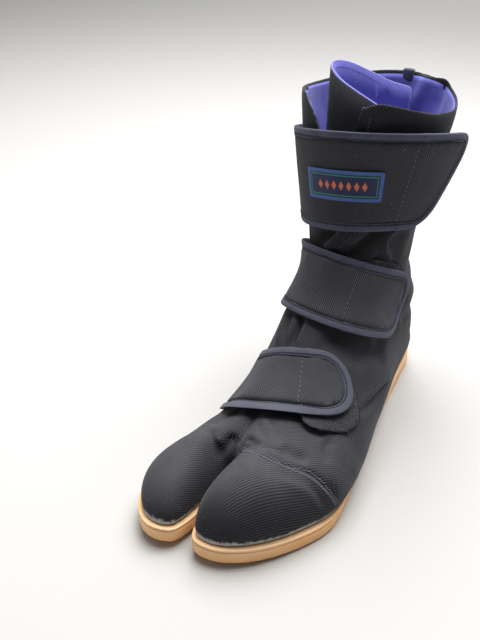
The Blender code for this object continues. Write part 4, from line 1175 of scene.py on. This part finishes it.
def stand_out(rim, strap_map, inset):
    """Move a closed rim outwards in the strap's own surface."""
    angle, across, radius = strap_map.flat(rim)
    flat = np.stack([np.radians(angle) * radius.mean(), across], 1)
    after = np.roll(flat, -1, axis=0)
    way = inset if (flat[:, 0] * after[:, 1] - after[:, 0] * flat[:, 1]).sum() > 0.0 else -inset
    moved = []
    for index, place in enumerate(rim):
        along = rim[(index + 1) % len(rim)] - rim[index - 1]
        along /= np.linalg.norm(along)
        side = np.cross(along, strap_map.direction(angle[index]))
        side /= np.linalg.norm(side)
        moved.append(place + side * way)
    return np.array(moved)


def tuck_under(piece, strap_map, amount):
    """Widen a panel at its edge, so that it runs in under the tape."""
    points, normals = read_points(piece)
    angle, _, _ = strap_map.flat(points)
    turn = np.radians(angle)[:, None]
    outward = strap_map.front * np.cos(turn) + strap_map.outer * np.sin(turn)
    flat = normals - outward * np.einsum("ij,ij->i", normals, outward)[:, None]
    size = np.linalg.norm(flat, axis=1)
    edge = size > PANEL_SIDE
    points[edge] += flat[edge] / size[edge][:, None] * amount
    write_points(piece, points)


def dip_along(piece, line, depth, reach):
    """Sink a piece's surface softly along a line."""
    points, normals = read_points(piece)
    gap, _, _ = nearest_on_line(points, line)
    share = np.exp(-(gap / (reach * MM)) ** 2)
    write_points(piece, points + normals * (depth * MM * share)[:, None])


class TABI_OT_stage(bpy.types.Operator):
    """Lay the floor, hang the lights and set up the camera"""

    bl_idname = "tabi.stage"
    bl_label = "Stage"

    def execute(self, context):
        look = context.scene.tabi_stage
        self.lay_floor(context, look)
        world = bpy.data.worlds.new("studio")
        context.scene.world = world
        world.use_nodes = True
        sky = world.node_tree.nodes["Background"]
        sky.inputs["Color"].default_value = (*look.sky_colour, 1.0)
        sky.inputs["Strength"].default_value = look.sky_strength
        self.hang(context, TOP_LIGHT, look.top_power)
        self.hang(context, SIDE_LIGHT, look.side_power)
        self.hang(context, BACK_LIGHT, look.back_power)
        self.set_camera(context)
        return {"FINISHED"}

    def lay_floor(self, context, look):
        """Lay a round floor whose rim curves up into a backdrop."""
        verts = [(0.0, 0.0, 0.0)]
        polygons = []
        for ring, (radius, height) in enumerate(SWEEP):
            for number in range(SWEEP_SIDES):
                turn = 2.0 * math.pi * number / SWEEP_SIDES
                verts.append((radius * math.cos(turn), radius * math.sin(turn), height))
                here = 1 + ring * SWEEP_SIDES + number
                after = 1 + ring * SWEEP_SIDES + (number + 1) % SWEEP_SIDES
                if ring:
                    polygons.append((here - SWEEP_SIDES, here, after, after - SWEEP_SIDES))
                else:
                    polygons.append((0, here, after))
        mesh = mesh_of("floor", verts, polygons)
        mesh.materials.append(floor_material(look))
        mesh.shade_smooth()
        floor = bpy.data.objects.new("floor", mesh)
        context.scene.collection.objects.link(floor)
        return floor

    def hang(self, context, light, power):
        """Hang one square soft light that looks at its target."""
        bpy.ops.object.light_add(type="AREA", location=light.place)
        lamp = context.object
        lamp.name = light.name
        lamp.data.size = light.size
        lamp.data.energy = power
        way = Vector(light.target) - Vector(light.place)
        lamp.rotation_euler = way.to_track_quat("-Z", "Y").to_euler()

    def set_camera(self, context):
        """Put the camera where the photograph was taken from."""
        lens = bpy.data.cameras.new("photo_camera")
        lens.sensor_fit = "VERTICAL"
        lens.sensor_height = SENSOR_MM
        lens.lens = FOCAL_PIXELS / PHOTO_HEIGHT * SENSOR_MM
        lens.clip_start = 0.01
        camera = bpy.data.objects.new("photo_camera", lens)
        context.scene.collection.objects.link(camera)
        right = Vector(CAMERA_RIGHT).normalized()
        up = Vector(CAMERA_UP).normalized()
        turn = Matrix((right, up, right.cross(up))).transposed().to_4x4()
        camera.matrix_world = Matrix.Translation(Vector(CAMERA_PLACE) * MM) @ turn
        context.scene.camera = camera
        context.scene.view_settings.view_transform = "Standard"


class TABI_OT_sole(bpy.types.Operator):
    """Make the gum rubber sole and the footbed"""

    bl_idname = "tabi.sole"
    bl_label = "Sole and footbed"

    def execute(self, context):
        look = context.scene.tabi_sole
        sole = copy_node("outsole", "gum_sole", gum_material(look))
        apply_modifier(sole, "soft_edges", "BEVEL", width=SOLE_ROUND * MM, segments=2,
                       limit_method="ANGLE", angle_limit=math.radians(SOLE_ROUND_ANGLE))
        shade_by_angle(SOLE_SHADE_ANGLE)
        points, _ = read_points(sole)
        # Where the painted highlight along the sole's top edge lies
        top = np.clip((points[:, 2] / MM - HIGHLIGHT_EDGE_Z) / HIGHLIGHT_EDGE_RUN, 0.0, 1.0)
        write_attribute(sole, "painted_top_highlight", top)
        cloth = lining_material("footbed_cloth", context.scene.tabi_cloth.lining_colour)
        footbed = copy_node("insole", "footbed", cloth)
        shade_by_angle(FLAT_SHADE_ANGLE)
        return {"FINISHED"}


class TABI_OT_upper(bpy.types.Operator):
    """Make the twill upper with its folds, seams and lining"""

    bl_idname = "tabi.upper"
    bl_label = "Upper and lining"

    def execute(self, context):
        look = context.scene.tabi_cloth
        cement = context.scene.tabi_sole.cement_colour
        # The upper's twill is darkened by a factor of painted shade
        twill = twill_material("black_twill_upper", look, UPPER_PAINTED_SHADE, cement)
        upper = copy_node("upper", "twill_upper", twill, 2)
        inner = press_folds(upper)
        points, _ = read_points(upper)
        write_attribute(upper, "cement", self.cement_share(points, inner))
        write_dust_and_top_light(upper)
        write_uv(upper, upper_chart)
        self.line_shaft(upper, inner, look)
        self.sew_seams(upper, look)
        self.bind_back(upper, look)
        return {"FINISHED"}

    def cement_share(self, points, inner):
        """How much cement each point may carry, most at the toes."""
        y = points[:, 1] / MM
        z = points[:, 2] / MM
        start, run, rise = CEMENT_SPRING
        height = z - CEMENT_Z - rise * np.clip((start - y) / run, 0.0, 1.0) ** 2
        start, run, least = CEMENT_FRONT
        front = np.clip((start - y) / run, least, 1.0)
        return np.where(inner, 0.0, np.clip(1.0 - height / CEMENT_HEIGHT, 0.0, 1.0) * front)

    def line_shaft(self, upper, inner, look):
        """Line the inside with cotton, short of the turned-in collar."""
        mesh = upper.data
        points, _ = read_points(upper)
        edges = np.array([tuple(edge.vertices) for edge in mesh.edges])
        crossing = inner[edges[:, 0]] != inner[edges[:, 1]]
        rim = points[np.unique(edges[crossing])]
        rim = rim[rim[:, 2] > LINING_START_Z * MM]
        spots = [(number, number, number) for number in range(len(rim))]
        tree = BVHTree.FromPolygons([Vector(point) for point in rim], spots)
        keep = []
        for face in mesh.polygons:
            inside = all(inner[vertex] for vertex in face.vertices)
            if inside and face.center.z > LINING_START_Z * MM:
                _, _, _, gap = tree.find_nearest(face.center)
                inside = gap > COLLAR_TURN_IN * MM
            keep.append(inside)
        cotton = lining_material("purple_lining", look.lining_colour)
        lining = new_piece("shaft_lining", mesh.copy(), cotton)
        drop_faces(lining, keep)
        points, normals = read_points(lining)
        write_points(lining, points + normals * LINING_LIFT * MM)
        thin_sheet(lining, LINING_THICKNESS * MM)

    def sew_seams(self, upper, look):
        """Sew the rows of stitches that hold the panels together."""
        surface = surface_of(upper)
        rows = {"vamp": [], "upper": []}
        for seam in SEAMS:
            across = Vector(seam.across).normalized()
            line = smooth_line(in_metres(seam.points), seam.pitch * MM)
            group = rows["vamp" if seam.name == "vamp" else "upper"]
            group.extend(line + np.array(across * (shift * MM)) for shift in seam.rows)
        thread = thread_material("upper_thread", look.thread_colour, UPPER_THREAD_SHADE)
        stitches = sew("upper_stitches", rows["upper"], surface, thread, UPPER_STITCH)
        heavy = thread_material("vamp_thread", look.thread_colour, VAMP_THREAD_SHADE)
        stitches = sew("vamp_stitches", rows["vamp"], surface, heavy, VAMP_STITCH)

    def bind_back(self, upper, look):
        """Fold a short tape over the collar at the back seam."""
        points, _ = read_points(upper)
        off_seam = np.abs(points[:, 0] - BACK_SEAM_X * MM)
        near = points[(off_seam < TAB_SIZE[0] / 2.0 * MM) & (points[:, 1] > 0.0)]
        top = near[near[:, 2] > near[:, 2].max() - 1.0 * MM].mean(0)
        bpy.ops.object.select_all(action="DESELECT")
        bpy.ops.mesh.primitive_cube_add(size=1.0)
        tab = bpy.context.object
        tab.name = "back_tab"
        tab.data.materials.append(lining_material("tab_tape", look.tape_colour))
        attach(tab, "root")
        place = Matrix.Translation(Vector(top) - Vector((0.0, 0.0, TAB_DROP * MM)))
        tab.data.transform(place @ Matrix.Diagonal((*(size * MM for size in TAB_SIZE), 1.0)))
        apply_modifier(tab, "fold", "BEVEL", width=TAB_ROUND * MM, segments=4)
        shade_by_angle(FLAT_SHADE_ANGLE)


class TABI_OT_gusset(bpy.types.Operator):
    """Make the curled gusset with its lining and piped edge"""

    bl_idname = "tabi.gusset"
    bl_label = "Gusset"

    def execute(self, context):
        look = context.scene.tabi_cloth
        twill = twill_material("black_twill_gusset", look)
        gusset = copy_node("front_gusset", "twill_gusset", twill, 2, GUSSET_HOLD)
        write_dust_and_top_light(gusset)
        write_uv(gusset, self.chart)
        middle = np.array(GUSSET_MIDDLE) * MM
        keep = []
        for face in gusset.data.polygons:
            to_middle = middle - np.array(face.center[:2])
            normal = np.array(face.normal[:2])
            keep.append(bool(normal @ to_middle > GUSSET_FACING * np.linalg.norm(to_middle)))
        cotton = lining_material("gusset_lining_cloth", look.lining_colour)
        lining = new_piece("gusset_lining", gusset.data.copy(), cotton)
        drop_faces(lining, keep)
        thin_sheet(lining, GUSSET_LINING_THICKNESS * MM)
        line = smooth_line(in_metres(GUSSET_TOP), PIPING_STEP * MM)
        line[:, 2] -= GUSSET_EDGE * 0.1 * MM
        piping = tube_along("gusset_piping", line, GUSSET_EDGE * MM,
                            lining_material("piping_cloth", look.piping_colour))
        inward = np.zeros_like(line)
        inward[:, :2] = middle - line[:, :2]
        inward /= np.linalg.norm(inward, axis=1)[:, None]
        row = line + inward * GUSSET_ROW_IN * MM - (0.0, 0.0, GUSSET_ROW_DROP * MM)
        row = smooth_line(row[::3], GUSSET_ROW_PITCH * MM)
        thread = thread_material("lining_thread", look.lining_colour, LINING_THREAD_SHADE)
        stitches = sew("gusset_stitches", [row], surface_of(lining), thread, LINING_STITCH)
        return {"FINISHED"}

    def chart(self, points, middle):
        """Cloth coordinates round the curl."""
        centre = np.array(GUSSET_MIDDLE)
        turn = np.arctan2(middle[:, 0] - centre[0], middle[:, 1] - centre[1])
        own = np.arctan2(points[:, 0] - centre[0], points[:, 1] - centre[1])
        round_way = turn_near(own, turn) * GUSSET_RADIUS
        z = points[:, 2]
        return np.stack([round_way * -0.66 + z * 0.75, round_way * 0.75 + z * 0.66], 1)


class TABI_OT_straps(bpy.types.Operator):
    """Make the three straps with their bias tape and stitches"""

    bl_idname = "tabi.straps"
    bl_label = "Straps"

    def execute(self, context):
        look = context.scene.tabi_cloth
        foot = surface_of(bpy.data.objects["twill_upper"])
        tape = tape_material(look)
        thread = thread_material("tape_thread", look.thread_colour)
        cross_thread = thread_material("cross_thread", look.cross_thread_colour)
        for strap in STRAPS:
            strap_map = StrapMap(strap)
            # Each strap's shade factor paints its own light onto the one twill
            cloth = twill_material(f"black_twill_{strap.name}", look, strap.shade)
            panel = copy_node(f"strap_{strap.name}", f"panel_{strap.name}", cloth)
            rim = top_rim(panel, strap_map)
            refine(panel, 2, PANEL_HOLD)
            tuck_under(panel, strap_map, PANEL_TUCK * MM)
            if strap.name == "lower":
                self.seat_start(panel, strap_map, foot)
            write_dust_and_top_light(panel)
            strap_map.measure(panel)
            write_uv(panel, strap_map.chart(STRAP_RIB_SLANT))
            binding = copy_node(f"binding_{strap.name}", f"tape_{strap.name}", tape, 2, TAPE_HOLD)
            row = stand_out(rim, strap_map, TAPE_STITCH_INSET * MM)
            row = smooth_line(row, TAPE_STITCH_PITCH * MM, closed=True)
            edge = smooth_line(rim, TAPE_STITCH_PITCH * MM, closed=True)
            from_rim, _, _ = nearest_on_line(read_points(binding)[0], edge)
            write_attribute(binding, "from_rim", from_rim / MM)
            dip_along(binding, row, TAPE_STITCH_DIP, TAPE_DIP_REACH)
            if strap.name == "lower":
                self.seat_start(binding, strap_map, foot)
            self.lap_tape(binding, strap_map, strap.cross_row)
            write_dust_and_top_light(binding)
            write_uv(binding, strap_map.chart(0.0))
            surface = surface_of(binding)
            stitches = sew(f"tape_stitches_{strap.name}", [row], surface, thread, TAPE_STITCH)
            self.cross_row(panel, strap, strap_map, cross_thread)
        return {"FINISHED"}

    def seat_start(self, piece, strap_map, foot):
        """Bring the sewn end of a strap down onto the foot."""
        points, _ = read_points(piece)
        angle, across, _ = strap_map.flat(points)
        own = surface_of(piece)
        drops = []
        marks = np.arange(angle.min() + 3.0, SEAT_END, SEAT_STEP)
        rows = np.arange(across.min() + 1.5 * MM, across.max() - 1.0 * MM, SEAT_ROW_STEP * MM)
        for mark in marks:
            way = Vector(strap_map.direction(mark))
            for row in rows:
                start = Vector(strap_map.anchor + strap_map.axis * row)
                under, _, _, _ = own.ray_cast(start, way)
                skin = strap_map.outermost(foot, mark, row)
                if under is not None and skin is not None:
                    gap = (under - start).length - (skin - start).length
                    drops.append((mark, row, max(0.0, gap - SEAT_GAP * MM)))
        drops = np.array(drops)
        share = ease((SEAT_END - angle) / SEAT_FADE)
        for index in np.flatnonzero(share > 0.0):
            far = np.hypot((drops[:, 0] - angle[index]) * SEAT_DEGREE * MM, drops[:, 1] - across[index])
            weight = np.exp(-(far / (SEAT_BLEND * MM)) ** 2) + 1.0e-9
            drop = (weight * drops[:, 2]).sum() / weight.sum() * share[index]
            points[index] -= strap_map.direction(angle[index]) * drop
        write_points(piece, points)

    def lap_tape(self, binding, strap_map, angle):
        """Pinch the tape where its ends lap, at the cross row."""
        points, normals = read_points(binding)
        turn, _, radius = strap_map.flat(points)
        way = np.radians(turn - angle) * radius / MM
        depth, width = LAP_PINCH
        lift = depth * np.exp(-(way / width) ** 2)
        height, place, width = LAP_SWELL
        lift += height * np.exp(-((way - place) / width) ** 2)
        write_points(binding, points + normals * (lift * MM)[:, None])

    def cross_row(self, panel, strap, strap_map, thread):
        """Sew the single row of stitches across the panel."""
        surface = surface_of(panel)
        points, _ = read_points(panel)
        _, across, _ = strap_map.flat(points)
        margin = CROSS_ROW_MARGIN * MM
        marks = np.arange(across.min() + margin, across.max() - margin, CROSS_ROW_PITCH * MM)
        spots = [strap_map.outermost(surface, strap.cross_row, mark) for mark in marks]
        row = np.array([tuple(spot) for spot in spots if spot is not None])
        stitches = sew(f"cross_stitches_{strap.name}", [row], surface, thread, CROSS_STITCH)


class TABI_OT_fasteners(bpy.types.Operator):
    """Make the fuzzy patches that the straps close on"""

    bl_idname = "tabi.fasteners"
    bl_label = "Fastener pile"

    def execute(self, context):
        look = context.scene.tabi_cloth
        pile = pile_material(look)
        for name, seed in PILE_SEEDS:
            patch = copy_node(f"loop_patch_{name}", f"pile_{name}", pile, 2)
            self.grow_curls(patch, f"curls_{name}", seed, pile)
        return {"FINISHED"}

    def grow_curls(self, patch, name, seed, material):
        """Scatter short curled fibres over the patch."""
        draw = random.Random(seed)
        faces = [face for face in patch.data.polygons if face.normal.z > 0.1 or face.normal.x > 0.3]
        fibres = []
        for _ in range(PILE_CURLS):
            face = draw.choice(faces)
            start = face.center + Vector((draw.uniform(-0.6, 0.6), draw.uniform(-0.6, 0.6), 0.0)) * MM
            lean = any_way(draw)
            fibres.append(curl(start, face.normal, lean, draw.uniform(0.5, 1.0) * MM))
        piece = join_fibres(name, fibres, PILE_RADIUS * MM, material)


def any_way(draw):
    """A way drawn at random."""
    return Vector((draw.uniform(-1.0, 1.0), draw.uniform(-1.0, 1.0), draw.uniform(-1.0, 1.0)))


def curl(start, normal, lean, size):
    """Four places along one short fibre that rises and bends over."""
    lean = (lean - normal * lean.dot(normal)).normalized()
    return [start - normal * 0.1 * MM,
            start + normal * size * 0.7 + lean * size * 0.2,
            start + normal * size * 0.8 + lean * size * 0.9,
            start + normal * size * 0.2 + lean * size * 1.3]


def join_fibres(name, fibres, radius, material):
    """One mesh of three-sided fibres, closed at both ends."""
    verts = []
    polygons = []
    for fibre in fibres:
        polygons.extend(skin_rings(len(verts), len(fibre), 3))
        for index, point in enumerate(fibre):
            along = (fibre[min(index + 1, len(fibre) - 1)] - fibre[max(index - 1, 0)]).normalized()
            side = along.orthogonal().normalized()
            verts.extend(ring_round(point, side, along.cross(side), radius, 3))
    return new_piece(name, mesh_of(name, verts, polygons), material)


class TABI_OT_label(bpy.types.Operator):
    """Make the small woven patch on the top strap"""

    bl_idname = "tabi.label"
    bl_label = "Woven patch"

    def execute(self, context):
        strap_map = StrapMap(STRAPS[-1])
        label = copy_node("label_patch", "woven_label", label_material())
        shade_by_angle(LABEL_SHADE_ANGLE)
        points, _ = read_points(label)
        angle, across, _ = strap_map.flat(points)
        strap_map.angles = [angle.min(), angle.max()]
        strap_map.lengths = [-LABEL_HALF[0], LABEL_HALF[0]]
        middle = (across.min() + across.max()) / 2.0 / MM

        def chart(corners, centres):
            turn, off, _ = strap_map.flat(corners * MM)
            return np.stack([strap_map.along(turn), off / MM - middle], 1)

        write_uv(label, chart)
        return {"FINISHED"}


class TABI_OT_lint(bpy.types.Operator):
    """Scatter the pale specks and fibres that cling to the cloth"""

    bl_idname = "tabi.lint"
    bl_label = "Lint"

    def execute(self, context):
        draw = random.Random(LINT_SEED)
        count = context.scene.tabi_cloth.lint_count
        fibres = []
        for name, share in LINT_SHARES:
            mesh = bpy.data.objects[name].data
            faces = [face for face in mesh.polygons
                     if face.normal.dot(face.center - Vector((0.0, LINT_MIDDLE_Y, face.center.z))) > 0.0]
            for _ in range(int(count * share)):
                face = draw.choice(faces)
                lean = any_way(draw)
                long = draw.random() < LINT_LONG
                size = (draw.uniform(0.8, 1.6) if long else draw.uniform(0.12, 0.30)) * MM
                lean = (lean - face.normal * lean.dot(face.normal)).normalized()
                side = face.normal.cross(lean)
                rise = face.normal * 0.12 * MM
                bend = draw.uniform(-0.5, 0.5)
                fibres.append([face.center + rise - lean * size,
                               face.center + rise * 1.5 - lean * size * 0.3 + side * size * bend,
                               face.center + rise * 1.5 + lean * size * 0.4 + side * size * bend,
                               face.center + rise + lean * size])
        piece = join_fibres("lint", fibres, LINT_RADIUS * MM, lint_material())
        return {"FINISHED"}


class TABI_PT_panel(bpy.types.Panel):
    """Lists the steps that dress the shoe"""

    bl_idname = "TABI_PT_panel"
    bl_label = "Jika Tabi"
    bl_space_type = "VIEW_3D"
    bl_region_type = "UI"
    bl_category = "Tabi"

    def draw(self, context):
        for operator in OPERATORS:
            self.layout.operator(operator.bl_idname)
        for look in (context.scene.tabi_cloth, context.scene.tabi_sole, context.scene.tabi_stage):
            box = self.layout.box()
            for name in look.__annotations__:
                box.prop(look, name)


LOOKS = (("tabi_stage", StageLook), ("tabi_cloth", ClothLook), ("tabi_sole", SoleLook))
OPERATORS = (TABI_OT_stage, TABI_OT_sole, TABI_OT_upper, TABI_OT_gusset, TABI_OT_straps, TABI_OT_fasteners,
             TABI_OT_label, TABI_OT_lint)


def register():
    for _, look in LOOKS:
        bpy.utils.register_class(look)
    for name, look in LOOKS:
        setattr(bpy.types.Scene, name, PointerProperty(type=look))
    for operator in OPERATORS:
        bpy.utils.register_class(operator)
    bpy.utils.register_class(TABI_PT_panel)


def unregister():
    bpy.utils.unregister_class(TABI_PT_panel)
    for operator in reversed(OPERATORS):
        bpy.utils.unregister_class(operator)
    for name, look in reversed(LOOKS):
        delattr(bpy.types.Scene, name)
        bpy.utils.unregister_class(look)


def main():
    """Register the add-on and run its steps in order."""
    register()
    bpy.ops.tabi.stage()
    bpy.ops.tabi.sole()
    bpy.ops.tabi.upper()
    bpy.ops.tabi.gusset()
    bpy.ops.tabi.straps()
    bpy.ops.tabi.fasteners()
    bpy.ops.tabi.label()
    bpy.ops.tabi.lint()


if __name__ == "__main__":
    main()
